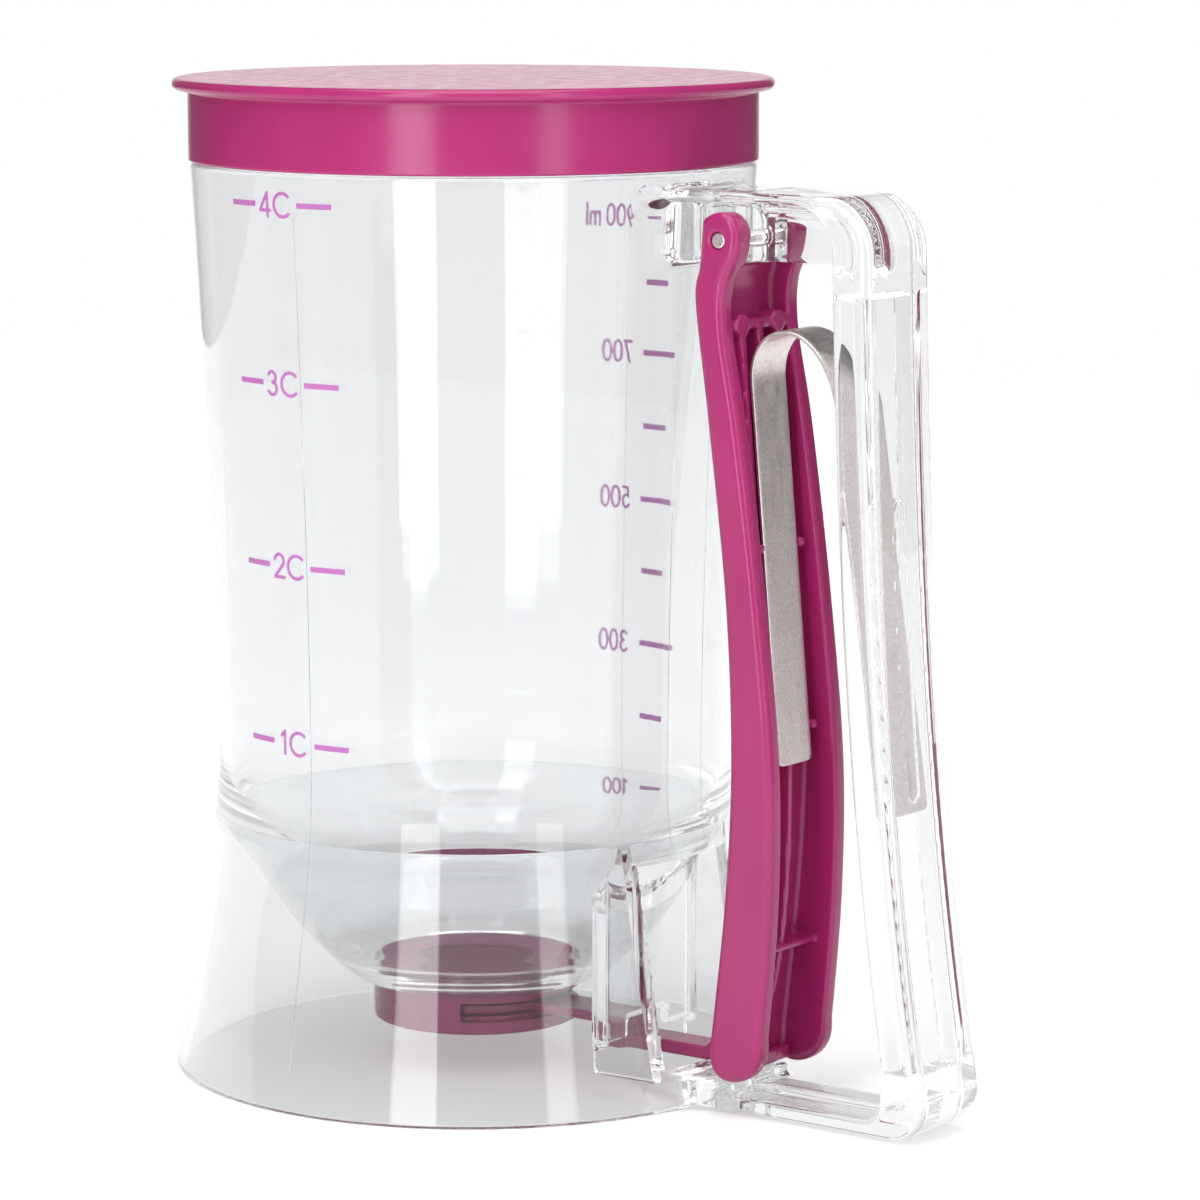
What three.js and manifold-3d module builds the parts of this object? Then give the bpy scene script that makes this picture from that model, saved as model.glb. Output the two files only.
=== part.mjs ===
// A hand-held batter dispenser: a clear jar on a flared skirt, a D-shaped handle, and a trigger that
// pulls a gate open under the jar.
// Millimetres, +Z up. The handle points along +X, and the base stands on z = 0.
import * as THREE from "three";
import { mergeVertices } from "three/addons/utils/BufferGeometryUtils.js";
import Module from "manifold-3d";

const wasm = await Module();
wasm.setup();

// How finely round shapes and curves are divided.
const ROUND_SEGMENTS = 48;
const SMALL_ROUND_SEGMENTS = 24;
const CURVE_STEPS = 5;
const GRIP_STEPS = 8;
const BEVEL_STEPS = 3;
const WALL_STEPS = 7;
const SKIRT_STEPS = 7;
const BOWL_STEPS = 6;
const FLANK_STEPS = 18;
const SEARCH_STEPS = 40;
const HALF = 1 / 2;

// Vertices within the weld are one, and outline points within the near distance are too close to keep.
// A lap is how far joined solids pass into each other, or a cut past a face that it must clear.
const weld = 1e-4;
const near = 0.02;
const lap = 1e-4;

// Clearances between pieces, and the overrun of every cut.
const faceGap = 0.3;
const pinClearance = 0.08;
const runningGap = 0.5;
const overrun = 2;

// The whole object.
const overallHeight = 186;
const baseRadius = 57.3;
const waistRadius = 48.65;
const waistHeight = 58;
const neckRadius = 52.6;
const wall = 2.3;

// Lid: a plain cap with a flange, whose skirt goes over the jar's neck.
const lidFlangeOverhang = 2.9;
const lidFlange = 2.2;
const lidTop = 2.4;
const lidWall = 1.4;
const lidDepth = 15.3;
const lidSkirtProud = 0.4;
const lidSkirtRadius = neckRadius + lidSkirtProud;
const lidRadius = lidSkirtRadius + lidFlangeOverhang;
const lidSkirtBottom = overallHeight - lidDepth;

// Jar: neck, wall, funnel bowl and spout collar.
const neckWall = 1.5;
const neckOuter = lidSkirtRadius - lidWall - faceGap;
const shoulderHeight = lidSkirtBottom - faceGap;
const shoulderDrop = 2.4;
const rimHeight = overallHeight - lidTop - runningGap;
const rimRound = 0.5;
const bowlRootHeight = 48.6;
const outletRadius = 11;
const seatWidth = 7.5;
const collarBore = outletRadius + seatWidth + faceGap;
const collarWall = 1.4;
const collarRadius = collarBore + collarWall;
const collarDepth = 4.3;
const wallBulgeShares = { radius: 0.063, height: 0.427 };
const bowlInnerShares = { radius: 0.59, height: 0.363 };
const bowlOuterShares = { radius: 0.57, height: 0.34 };
const skirtCurveShares = { radius: 0.029, height: 0.76 };

// Bayonet: lugs on the valve housing turn into a groove in the collar's bore.
const lugCount = 3;
const lugProud = 0.6;
const lugHeight = 1;
const lugWidthAngle = 0.36;
const lugTwist = 0.7;
const grooveLip = 0.8;
const groovePlay = 0.3;

// Base skirt with its recess for the strap.
const skirtWall = 2.1;
const rimLand = 1.9;
const recessHalfWidth = 13.5;
const recessWall = 1.9;
const sillDrop = 0.8;
const recessLintel = 1.5;
const cheekDrop = 1.8;

// Handle: a loop with a flat top arm, a channelled grip and a flat lower arm.
const handleHalfWidth = 9;
const armPlate = 1.9;
const armDrop = 2.9;
const armTop = lidSkirtBottom - armDrop;
const gripDepth = 8.8;
const gripTopReach = 30.6;
const gripFootReach = 43.3;
const handleTopRound = 10.5;
const handleTopInnerRound = 8.8;
const handleFootRound = 8;
const handleFootInnerRound = 3.5;
const handleLift = 0.4;
const lowerPlate = 3.2;
const lowerRib = 1.6;
const lowerRibHalfWidth = 3;
const gripBackWall = 4.2;
const channelPlay = 1.35;
const channelTopDrop = 5;
const channelFoot = 12;
const pocketDepth = 0.8;
const pocketHalfWidth = 1.9;
const pocketFoot = 62;
const pocketLength = 50;
const flareHalfWidth = 17.8;
const flareLength = 8.5;
const flareDrop = 0.4;
const webHalfThickness = 2.2;
const webDrop = 12.8;
const webFillet = 4.4;
const earPlay = 0.6;
const knuckleRound = 2;
const handleBevel = 0.9;
const gripBowShares = [
  { along: 0.31, out: 0.09 },
  { along: 0.67, out: 0.29 },
];

// Pivot pin.
const pinRadius = 1.5;
const pinDrop = 8.7;
const pinStandoff = 6.7;
const pinRecess = 0.4;

// Trigger: a channel-shaped lever with two ears.
const triggerHalfWidth = 12.5;
const flangeThickness = 3.8;
const earThickness = 4.9;
const triggerWeb = 2.2;
const triggerBevel = 1.6;
const toeDrop = 0.9;
const toeRound = 4;
const heelRound = 7;
const triggerBow = 12;
const earHalfLength = 4;
const earSpan = 17.2;
const earRise = 5;
const ribHalfThickness = 0.8;
const ribOffset = 0.35;
const barRib = 1.8;
const barRibProud = 3.2;
const barDrop = 16.3;
const padRadius = 2.1;
const padProud = 0.5;
const crossRib = 1;
const crossRibProud = 5;
const crossRibDrop = 34.5;
const centreRibShares = { radius: 1, height: 0.15 };
const springLug = 1.6;
const springLugShares = [0.08, 0.56];
const openShare = 0.98113;

// Leaf spring.
const springThickness = 0.8;
const springHalfWidth = 5.25;
const springStandoff = 2.6;
const springTopDrop = 25.6;
const springFrontLength = 69.3;
const springLean = 0.09;
const springSpread = 18.6;
const springRearDrop = 5.5;
const springFrontRise = 12.5;
const springRearRise = 20;
const springRearFoot = 58;

// Valve housing, seal and gate.
const housingRadius = collarRadius - 0.5;
const housingWall = 2.2;
const housingBottom = 8.2;
const housingFloor = 2.3;
const housingFloorRise = 0.8;
const deckThickness = 2.3;
const seatRise = 4.5;
const seatLand = 2;
const sleeveWall = 1.7;
const gateThickness = 1.8;
const gateMargin = 1.6;
const slotHeight = 3.8;
const sealThickness = 1.4;
const sealDish = 0.5;
const strapRootHalfWidth = 5;
const strapHalfWidth = 3.4;
const strapThickness = 2.5;
const strapDrop = 0.6;
const strapShoulder = 4;
const headPlay = 0.9;
const headThickness = 1.7;
const bossLength = 4;
const bossHeight = 5.2;

// The valve's heights, from its floor up to the jar's mouth.
const gateFloor = housingBottom + housingFloorRise + housingFloor;
const gateBottom = gateFloor + faceGap;
const gateTop = gateBottom + gateThickness;
const deckBottom = gateTop + faceGap;
const deckTop = deckBottom + seatRise;
const mouthHeight = deckTop + faceGap + sealThickness + faceGap;
const collarBottom = mouthHeight - collarDepth;

// The strap's height, and what passes it: the toe, the recess and the handle's lower flare.
const strapBottom = housingBottom - strapDrop;
const toeHeight = strapBottom - toeDrop;
const recessSill = strapBottom - sillDrop;
const cheekBottom = recessSill - cheekDrop;
const lowerFlareRise = recessSill - flareDrop;

// Widths that fit inside each other.
const knuckleHalfWidth = triggerHalfWidth - earThickness - earPlay;
const channelHalfWidth = springHalfWidth + channelPlay;
const ribSpread = springHalfWidth + ribOffset;
const headHalfWidth = triggerHalfWidth - flangeThickness - headPlay;

// Places of the handle, the pin and the gate.
const outerReach = Math.max(baseRadius, lidSkirtRadius);
const pinX = outerReach + pinStandoff;
const pinZ = armTop - pinDrop;
const gripTopX = pinX + gripTopReach;
const gripFootX = pinX + gripFootReach;
const armBottom = armTop - armPlate;
const webBottom = armTop - webDrop;
const leverLength = pinZ - earSpan - toeHeight;
const gateTravel = 2 * outletRadius * openShare;
const sleeveRadius = collarBore - faceGap;
const housingBore = housingRadius - housingWall;
const plateRadius = housingBore - runningGap;
const notchHalfWidth = strapRootHalfWidth + 2 * runningGap;
const plateShoulderX = Math.sqrt(plateRadius ** 2 - notchHalfWidth ** 2);
const recessBackX = plateShoulderX + gateTravel + 2 * runningGap;
const recessBackOuterX = recessBackX + recessWall;
const centreX = (gripFootX - baseRadius) * HALF;

// Shape helpers: each gives a manifold solid.
function solidOf(geometry) {
  const bare = new THREE.BufferGeometry();
  bare.setAttribute("position", geometry.getAttribute("position"));
  if (geometry.index) bare.setIndex(geometry.index);
  const merged = mergeVertices(bare, weld);
  const triVerts = [];
  for (let i = 0; i < merged.index.count; i += 3) {
    const [a, b, c] = [0, 1, 2].map((k) => merged.index.getX(i + k));
    if (a !== b && b !== c && c !== a) triVerts.push(a, b, c);
  }
  const vertProperties = new Float32Array(merged.attributes.position.array);
  return new wasm.Manifold(
    new wasm.Mesh({ numProp: 3, vertProperties, triVerts: new Uint32Array(triVerts) }),
  );
}

// A closed profile of [radius, height] pairs, listed clockwise, turned about Z.
function revolve(profile, segments = ROUND_SEGMENTS) {
  const points = [...profile, profile[0]].reverse().map(([r, z]) => new THREE.Vector2(r, z));
  return solidOf(new THREE.LatheGeometry(points, segments).rotateX(Math.PI * HALF));
}

// A disc or ring between two heights.
function ring(inner, outer, bottom, top, segments = ROUND_SEGMENTS) {
  return revolve([[inner, bottom], [inner, top], [outer, top], [outer, bottom]], segments);
}

// An outline without the points that repeat the one before, which would leave gaps between its faces.
function tidyOutline(shape) {
  const points = shape.getPoints(CURVE_STEPS);
  return new THREE.Shape(points.filter((p, i) => p.distanceTo(points.at(i - 1)) > near));
}

// A side outline in X and Z, given a width along Y about the middle plane.
function acrossY(shape, halfWidth, bevel = 0) {
  const core = halfWidth - bevel;
  const geometry = new THREE.ExtrudeGeometry(tidyOutline(shape), {
    depth: 2 * core,
    curveSegments: CURVE_STEPS,
    bevelEnabled: bevel > 0,
    bevelThickness: bevel,
    bevelSize: bevel,
    bevelOffset: -bevel,
    bevelSegments: BEVEL_STEPS,
  });
  return solidOf(geometry.translate(0, 0, -core).rotateX(Math.PI * HALF));
}

// An end outline in Y and Z, drawn out along X.
function alongX(shape, x0, x1) {
  const geometry = new THREE.ExtrudeGeometry(tidyOutline(shape), {
    depth: x1 - x0,
    curveSegments: CURVE_STEPS,
    bevelEnabled: false,
  });
  return solidOf(geometry.translate(0, 0, x0).rotateX(Math.PI * HALF).rotateZ(Math.PI * HALF));
}

// A plan outline in X and Y, raised between two heights.
function upZ(shape, bottom, top) {
  const geometry = new THREE.ExtrudeGeometry(tidyOutline(shape), {
    depth: top - bottom,
    curveSegments: CURVE_STEPS,
    bevelEnabled: false,
  });
  return solidOf(geometry.translate(0, 0, bottom));
}

function box(x0, x1, y0, y1, z0, z1) {
  const geometry = new THREE.BoxGeometry(x1 - x0, y1 - y0, z1 - z0);
  const middle = [x0 + x1, y0 + y1, z0 + z1].map((sum) => sum * HALF);
  return solidOf(geometry.translate(...middle));
}

// A box that is as wide to both sides of the middle plane.
function slab(x0, x1, halfWidth, z0, z1) {
  return box(x0, x1, -halfWidth, halfWidth, z0, z1);
}

function cylinderY(x, z, radius, halfLength, segments = SMALL_ROUND_SEGMENTS) {
  const geometry = new THREE.CylinderGeometry(radius, radius, 2 * halfLength, segments);
  return solidOf(geometry.translate(x, 0, z));
}

function cylinderX(x0, x1, y, z, radius, segments = SMALL_ROUND_SEGMENTS) {
  const geometry = new THREE.CylinderGeometry(radius, radius, x1 - x0, segments);
  return solidOf(geometry.rotateZ(Math.PI * HALF).translate((x0 + x1) * HALF, y, z));
}

function outline(points) {
  return new THREE.Shape(points.map(([x, y]) => new THREE.Vector2(x, y)));
}

// The points of a curve between two heights, found by halving, as [radius, height] pairs.
function stretch(curve, fromHeight, toHeight, steps) {
  const startsHigh = curve.getPoint(0).y > curve.getPoint(1).y;
  return Array.from({ length: steps + 1 }, (_, i) => {
    const height = fromHeight + ((toHeight - fromHeight) * i) / steps;
    let [low, high] = startsHigh ? [1, 0] : [0, 1];
    for (let k = 0; k < SEARCH_STEPS; k++) {
      const middle = (low + high) * HALF;
      if (curve.getPoint(middle).y < height) low = middle;
      else high = middle;
    }
    return [curve.getPoint((low + high) * HALF).x, height];
  });
}

// A quadratic curve from one [radius, height] to another. Its control point lies at a share of each
// difference.
function bend([r0, z0], [r1, z1], shares) {
  const control = [r0 + (r1 - r0) * shares.radius, z0 + (z1 - z0) * shares.height];
  const points = [[r0, z0], control, [r1, z1]].map(([r, z]) => new THREE.Vector2(r, z));
  return new THREE.QuadraticBezierCurve(...points);
}

// The jar's and the skirt's curves, which their neighbours follow too.
const jarBottom = bowlRootHeight - wall;
const shoulderFoot = shoulderHeight - shoulderDrop;
const wallCurve = bend([waistRadius, waistHeight], [neckRadius, shoulderFoot], wallBulgeShares);
const skirtCurve = bend([baseRadius, 0], [waistRadius, waistHeight], {
  radius: 1 - skirtCurveShares.radius,
  height: skirtCurveShares.height,
});
const neckInner = neckOuter - neckWall;
const innerWallCurve = bend([waistRadius - wall, waistHeight], [neckInner, rimHeight], wallBulgeShares);
const bowlRootRadius = waistRadius - wall;
const bowlFootRadius = bowlRootRadius + wall * HALF;
const bowlInner = bend([bowlRootRadius, bowlRootHeight], [collarBore, mouthHeight], bowlInnerShares);
const bowlOuter = bend([bowlFootRadius, jarBottom], [collarRadius, mouthHeight - wall], bowlOuterShares);

function jarOuterLine(grow = 0) {
  return [
    ...stretch(wallCurve, shoulderFoot, waistHeight, WALL_STEPS),
    ...stretch(skirtCurve, waistHeight, jarBottom, 2).slice(1),
  ].map(([r, z]) => [r + grow, z]);
}

// Jar: one closed profile, with the groove and entry notches of the bayonet cut into the collar's bore.
function makeJar() {
  const body = revolve([
    [neckInner, rimHeight],
    [neckOuter - rimRound, rimHeight],
    [neckOuter, rimHeight - rimRound],
    [neckOuter, shoulderHeight],
    [neckRadius, shoulderHeight],
    ...jarOuterLine(),
    ...bowlOuter.getPoints(BOWL_STEPS).map(({ x, y }) => [x, y]),
    [collarRadius, collarBottom],
    [collarBore, collarBottom],
    ...bowlInner.getPoints(BOWL_STEPS).map(({ x, y }) => [x, y]).reverse(),
    ...stretch(innerWallCurve, waistHeight, rimHeight, WALL_STEPS).slice(0, -1),
  ]);
  const grooveBottom = collarBottom + grooveLip;
  const grooveTop = grooveBottom + lugHeight + 2 * groovePlay;
  const grooveRadius = collarBore + lugProud + groovePlay - faceGap;
  const groove = ring(collarBore - overrun, grooveRadius, grooveBottom, grooveTop);
  const entryBottom = collarBottom - overrun;
  const entries = sectors(collarBore - overrun, grooveRadius, entryBottom, grooveTop, 0, groovePlay);
  return body.subtract(groove).subtract(entries);
}

// The bayonet's sectors: as many as there are lugs, each between two radii and two heights.
function sectors(inner, outer, bottom, top, turn, play) {
  const parts = Array.from({ length: lugCount }, (_, i) => {
    const middle = turn + (2 * Math.PI * i) / lugCount;
    return upZ(wedge(outer + overrun, middle, (lugWidthAngle + play / outer) * HALF), bottom, top);
  });
  return parts.reduce((a, b) => a.add(b)).intersect(ring(inner, outer, bottom, top));
}

// A plan wedge from the axis, as wide to both sides of its middle direction.
function wedge(radius, middle, halfAngle) {
  const shape = new THREE.Shape();
  shape.moveTo(0, 0);
  shape.absarc(0, 0, radius, middle - halfAngle, middle + halfAngle, false);
  shape.lineTo(0, 0);
  return shape;
}

// Base skirt: a flared ring with a window toward the handle, a back wall behind it and a cheek at each side.
function makeSkirt() {
  const top = jarBottom - faceGap;
  const outer = stretch(skirtCurve, top, 0, SKIRT_STEPS);
  const inner = outer.slice(0, -1).map(([r, z]) => [r - skirtWall, z]).reverse();
  const shell = revolve([...outer, [baseRadius - rimLand, 0], ...inner]);
  const envelope = revolve([[0, 0], [0, top], ...outer]);
  const reach = baseRadius + overrun;
  const halfOutside = recessHalfWidth + recessWall;
  const window = slab(recessBackX, reach, recessHalfWidth, recessSill, top - recessLintel);
  const room = slab(
    recessBackX - overrun,
    reach + overrun,
    recessHalfWidth,
    cheekBottom - overrun,
    top + overrun,
  );
  const cheeks = slab(recessBackX, reach, halfOutside, cheekBottom, top).subtract(room).intersect(envelope);
  const strapRoom = gateTop + runningGap;
  const strapPass = strapBottom + strapThickness + faceGap;
  const back = slab(recessBackX, recessBackOuterX, halfOutside, strapPass, top)
    .subtract(slab(recessBackX - overrun, reach, notchHalfWidth, 0, strapRoom))
    .intersect(envelope);
  return shell.subtract(window).add(cheeks.add(back).subtract(bowlRoom()));
}

// The space under the jar's bowl that the recess walls keep clear of.
function bowlRoom() {
  const points = bowlOuter.getPoints(BOWL_STEPS).map(({ x, y }) => [x + faceGap, y - faceGap]);
  const [lastRadius] = points.at(-1);
  return revolve([[0, collarBottom], [0, jarBottom], ...points, [lastRadius, collarBottom]]);
}

// The grip's outer line, from under the top corner to above the foot corner.
function gripCurve(inset = 0) {
  const top = armTop - handleTopRound;
  const foot = handleLift + handleFootRound;
  const points = [{ along: 0, out: 0 }, ...gripBowShares, { along: 1, out: 1 }].map(
    ({ along, out }) =>
      new THREE.Vector2(gripTopX + (gripFootX - gripTopX) * out - inset, top + (foot - top) * along),
  );
  return new THREE.CubicBezierCurve(...points);
}

// Where the grip's line, moved in by an inset, stands at a height.
function gripXAt(height, inset = 0) {
  return stretch(gripCurve(inset), height, height, 1)[0][0];
}

// The handle's loop seen from the side: a band that is open toward the jar.
function loopOutline() {
  const start = neckRadius - wall;
  const foot = baseRadius - skirtWall;
  const outer = gripCurve();
  const inner = gripCurve(gripDepth);
  const lowerTop = handleLift + lowerPlate;
  const innerTopX = gripTopX - gripDepth;
  const innerFootZ = lowerTop + handleFootInnerRound;
  const innerFootX = gripXAt(innerFootZ + handleFootRound, gripDepth);
  const shape = new THREE.Shape();
  shape.moveTo(start, armTop);
  shape.lineTo(gripTopX - handleTopRound, armTop);
  shape.absarc(gripTopX - handleTopRound, armTop - handleTopRound, handleTopRound, Math.PI * HALF, 0, true);
  shape.bezierCurveTo(...[outer.v1, outer.v2, outer.v3].flatMap(({ x, y }) => [x, y]));
  shape.absarc(
    gripFootX - handleFootRound,
    handleLift + handleFootRound,
    handleFootRound,
    0,
    -Math.PI * HALF,
    true,
  );
  shape.lineTo(foot, handleLift);
  shape.lineTo(foot, lowerTop);
  shape.lineTo(innerFootX - handleFootInnerRound, lowerTop);
  shape.quadraticCurveTo(innerFootX, lowerTop, innerFootX, innerFootZ);
  for (const { x, y } of inner.getPoints(GRIP_STEPS).reverse()) {
    const belowTopCorner = y < armBottom - handleTopInnerRound - faceGap;
    if (belowTopCorner && y > innerFootZ + handleFootRound) shape.lineTo(x, y);
  }
  shape.lineTo(innerTopX, armBottom - handleTopInnerRound);
  shape.absarc(
    innerTopX - handleTopInnerRound,
    armBottom - handleTopInnerRound,
    handleTopInnerRound,
    0,
    Math.PI * HALF,
    false,
  );
  shape.lineTo(start, armBottom);
  return shape;
}

// A root flare in plan: as wide as the handle outside, and swept wide where it meets the round wall.
function flareOutline(radius) {
  const start = radius - wall;
  const tipX = Math.sqrt(radius ** 2 - flareHalfWidth ** 2) - wall;
  const end = radius + flareLength;
  const shape = new THREE.Shape();
  shape.moveTo(end, -handleHalfWidth);
  shape.quadraticCurveTo(start + wall, -handleHalfWidth, tipX, -flareHalfWidth);
  shape.lineTo(tipX, flareHalfWidth);
  shape.quadraticCurveTo(start + wall, handleHalfWidth, end, handleHalfWidth);
  return shape;
}

// The knuckle that carries the pin between the trigger's ears, with its wider root at the jar.
function makeKnuckle() {
  const start = neckRadius - wall;
  const rear = pinX + pinRadius + knuckleRound - pinClearance;
  const shape = new THREE.Shape();
  shape.moveTo(start, webBottom);
  shape.lineTo(rear - knuckleRound, webBottom);
  shape.absarc(rear - knuckleRound, webBottom + knuckleRound, knuckleRound, -Math.PI * HALF, 0, false);
  shape.lineTo(rear, armTop - handleBevel);
  shape.lineTo(start, armTop - handleBevel);
  const rootEnd = outerReach - wall * HALF;
  const root = slab(start, rootEnd, handleHalfWidth, webBottom, armBottom + handleBevel);
  return acrossY(shape, knuckleHalfWidth).add(root);
}

// The hollow rounding between the top arm's plate and its web, the same on both sides.
function makeWebFillet(end) {
  const reach = webHalfThickness + webFillet;
  const shape = new THREE.Shape();
  shape.moveTo(-reach, armBottom + handleBevel);
  shape.lineTo(-reach, armBottom);
  shape.absarc(-reach, armBottom - webFillet, webFillet, Math.PI * HALF, 0, true);
  shape.lineTo(webHalfThickness, armBottom - webFillet);
  shape.absarc(reach, armBottom - webFillet, webFillet, Math.PI, Math.PI * HALF, true);
  shape.lineTo(reach, armBottom + handleBevel);
  return alongX(shape, pinX, end);
}

// Handle loop, cut to the jar and the skirt with a face gap, and to the spring's channel and the pin.
function makeHandle() {
  const webEnd = gripTopX - gripDepth + handleBevel;
  const lowerTop = handleLift + lowerPlate;
  const loop = acrossY(loopOutline(), handleHalfWidth, handleBevel);
  const web = slab(pinX, webEnd, webHalfThickness, webBottom, armTop - handleBevel);
  const fillet = makeWebFillet(webEnd);
  const ribEnd = gripFootX - gripDepth;
  const rib = slab(baseRadius, ribEnd, lowerRibHalfWidth, lowerTop - handleBevel, lowerTop + lowerRib);
  const topFlare = upZ(flareOutline(neckRadius), armBottom, armTop);
  const lowerFlare = upZ(flareOutline(baseRadius), handleLift, lowerFlareRise);
  const channelTop = webBottom - channelTopDrop;
  const channel = acrossY(gripCut(gripBackWall, channelFoot, channelTop), channelHalfWidth);
  const pocketTop = pocketFoot + pocketLength;
  const pocket = acrossY(gripCut(gripBackWall - pocketDepth, pocketFoot, pocketTop), pocketHalfWidth);
  const pinHole = cylinderY(pinX, pinZ, pinRadius + pinClearance, handleHalfWidth + overrun);
  return loop
    .add(web)
    .add(fillet)
    .add(rib)
    .add(topFlare)
    .add(lowerFlare)
    .add(makeKnuckle())
    .subtract(channel)
    .subtract(pocket)
    .subtract(pinHole)
    .subtract(bodyRoom());
}

// What is cut into the grip from its front: the spring's channel, and the shallow pocket in the channel's
// back wall. Its back follows the grip's outer line at an inset.
function gripCut(inset, foot, top) {
  const back = stretch(gripCurve(inset), foot, top, GRIP_STEPS);
  const face = stretch(gripCurve(gripDepth + overrun), top, foot, GRIP_STEPS);
  return outline([...back, ...face]);
}

// The jar and skirt, grown by the face gap, that the handle is cut to.
function bodyRoom() {
  const skirt = stretch(skirtCurve, jarBottom, 0, SKIRT_STEPS).map(([r, z]) => [r + faceGap, z]);
  const top = overallHeight;
  return revolve([
    [0, -overrun],
    [0, top],
    [neckRadius + faceGap, top],
    ...jarOuterLine(faceGap),
    ...skirt.slice(1),
    [baseRadius + faceGap, -overrun],
  ]);
}

// Lid: a cap with a rounded flange.
function makeLid() {
  const edge = lidFlange * HALF;
  const edgeArc = Array.from({ length: 2 * BEVEL_STEPS + 1 }, (_, i) => {
    const angle = Math.PI * HALF - (Math.PI * i) / (2 * BEVEL_STEPS);
    return [lidRadius - edge + edge * Math.cos(angle), overallHeight - edge + edge * Math.sin(angle)];
  });
  return revolve([
    [0, overallHeight - lidTop],
    [0, overallHeight],
    ...edgeArc,
    [lidSkirtRadius, overallHeight - lidFlange],
    [lidSkirtRadius, lidSkirtBottom + rimRound],
    [lidSkirtRadius - rimRound, lidSkirtBottom],
    [lidSkirtRadius - lidWall, lidSkirtBottom],
    [lidSkirtRadius - lidWall, overallHeight - lidTop],
  ]);
}

// The ears' lines: shares of the ear's span below the pin, and of its half length from the pin.
const earFrontShares = [
  [-0.177, -0.93],
  [0.266, -1.08],
  [0.647, -1.32],
];
const earRearShares = [
  [1, 0.345],
  [0.487, 0.33],
  [0.177, 0.9],
  [-0.044, 1.08],
];

// The lever's lines: shares of its length below the ears, and of its bow from the pin.
const leverFrontShares = [
  [0.112, -0.2],
  [0.35, 0.125],
  [0.565, 0.235],
  [0.751, 0.135],
  [0.951, -0.12],
];
const leverRearShares = [
  [0.935, 0.82],
  [0.759, 0.985],
  [0.572, 0.99],
  [0.35, 0.735],
  [0.126, 0.38],
];

function lineBelow(top, length, reach, shares) {
  return shares.map(([down, out]) => new THREE.Vector2(pinX + reach * out, top - length * down));
}

const earLine = (shares) => lineBelow(pinZ, earSpan, earHalfLength, shares);
const leverLine = (shares) => lineBelow(pinZ - earSpan, leverLength, triggerBow, shares);
const frontLine = [...earLine(earFrontShares), ...leverLine(leverFrontShares)];
const rearLine = [...leverLine(leverRearShares), ...earLine(earRearShares)];
const frontCurve = new THREE.SplineCurve(frontLine);
const rearCurve = new THREE.SplineCurve(rearLine);

function triggerOutline() {
  const [top] = frontLine;
  const front = frontLine.at(-1);
  const [rear] = rearLine;
  const last = rearLine.at(-1);
  const middle = (last.x + top.x) * HALF;
  const crown = pinZ + earRise;
  const shape = new THREE.Shape(frontCurve.getPoints(FLANK_STEPS));
  shape.lineTo(front.x, toeHeight + toeRound);
  shape.absarc(front.x + toeRound, toeHeight + toeRound, toeRound, Math.PI, Math.PI * (1 + HALF), false);
  shape.lineTo(rear.x - heelRound, toeHeight);
  shape.absarc(rear.x - heelRound, toeHeight + heelRound, heelRound, -Math.PI * HALF, 0, false);
  for (const { x, y } of rearCurve.getPoints(FLANK_STEPS)) shape.lineTo(x, y);
  shape.bezierCurveTo(last.x, crown, middle + toeRound * HALF, crown, middle, crown);
  shape.bezierCurveTo(middle - toeRound * HALF, crown, top.x, crown, top.x, top.y);
  return shape;
}

// The front line moved back by the web: the floor of the trigger's channel.
function floorPoints() {
  return frontCurve
    .getPoints(FLANK_STEPS)
    .map(({ x, y }) => [x + triggerWeb, y])
    .filter(([, z]) => z < webBottom - runningGap);
}

// The hollow between the flanges, open behind and below.
function channelHollow() {
  const floor = floorPoints();
  const [topX] = floor[0];
  const [footX] = floor.at(-1);
  const behind = pinX + triggerBow + overrun + toeRound;
  const top = webBottom - runningGap;
  return outline([
    [topX, top],
    ...floor,
    [footX, 0],
    [behind, 0],
    [behind, top],
  ].reverse());
}

// The rear face of the channel's floor at a height.
function floorXAt(height) {
  const [[x]] = stretch(new THREE.SplineCurve([...frontLine].reverse()), height, height, 1);
  return x + triggerWeb;
}

// A strip along the channel's floor, from inside the web to a rear line that is listed from the top down.
function floorStrip(rear) {
  const [, top] = rear[0];
  const [, bottom] = rear.at(-1);
  const front = Array.from({ length: FLANK_STEPS + 1 }, (_, i) => {
    const z = bottom + ((top - bottom) * i) / FLANK_STEPS;
    return [floorXAt(z) - triggerWeb * HALF, z];
  });
  return acrossY(outline([...front, ...rear].reverse()), ribHalfThickness);
}

// Ribs along the channel's floor, whose rear edges carry the spring's front leg, and a centre rib below.
function makeRibs() {
  const { end } = springLine();
  const seat = springThickness * HALF + faceGap;
  const ribTop = pinZ - barDrop + barRib * HALF;
  const centreFoot = strapBottom + bossHeight + runningGap;
  const seatX = (z) => end.x - seat - (z - end.y) * Math.tan(springLean);
  const long = floorStrip([ribTop, end.y].map((z) => [seatX(z), z]));
  const tailLine = bend([floorXAt(centreFoot), centreFoot], [seatX(end.y), end.y + lap], centreRibShares);
  const tail = floorStrip(tailLine.getPoints(CURVE_STEPS).reverse().map(({ x, y }) => [x, y]));
  return [-ribSpread, 0, ribSpread].map((y) => long.translate([0, y, 0])).reduce((a, b) => a.add(b), tail);
}

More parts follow.
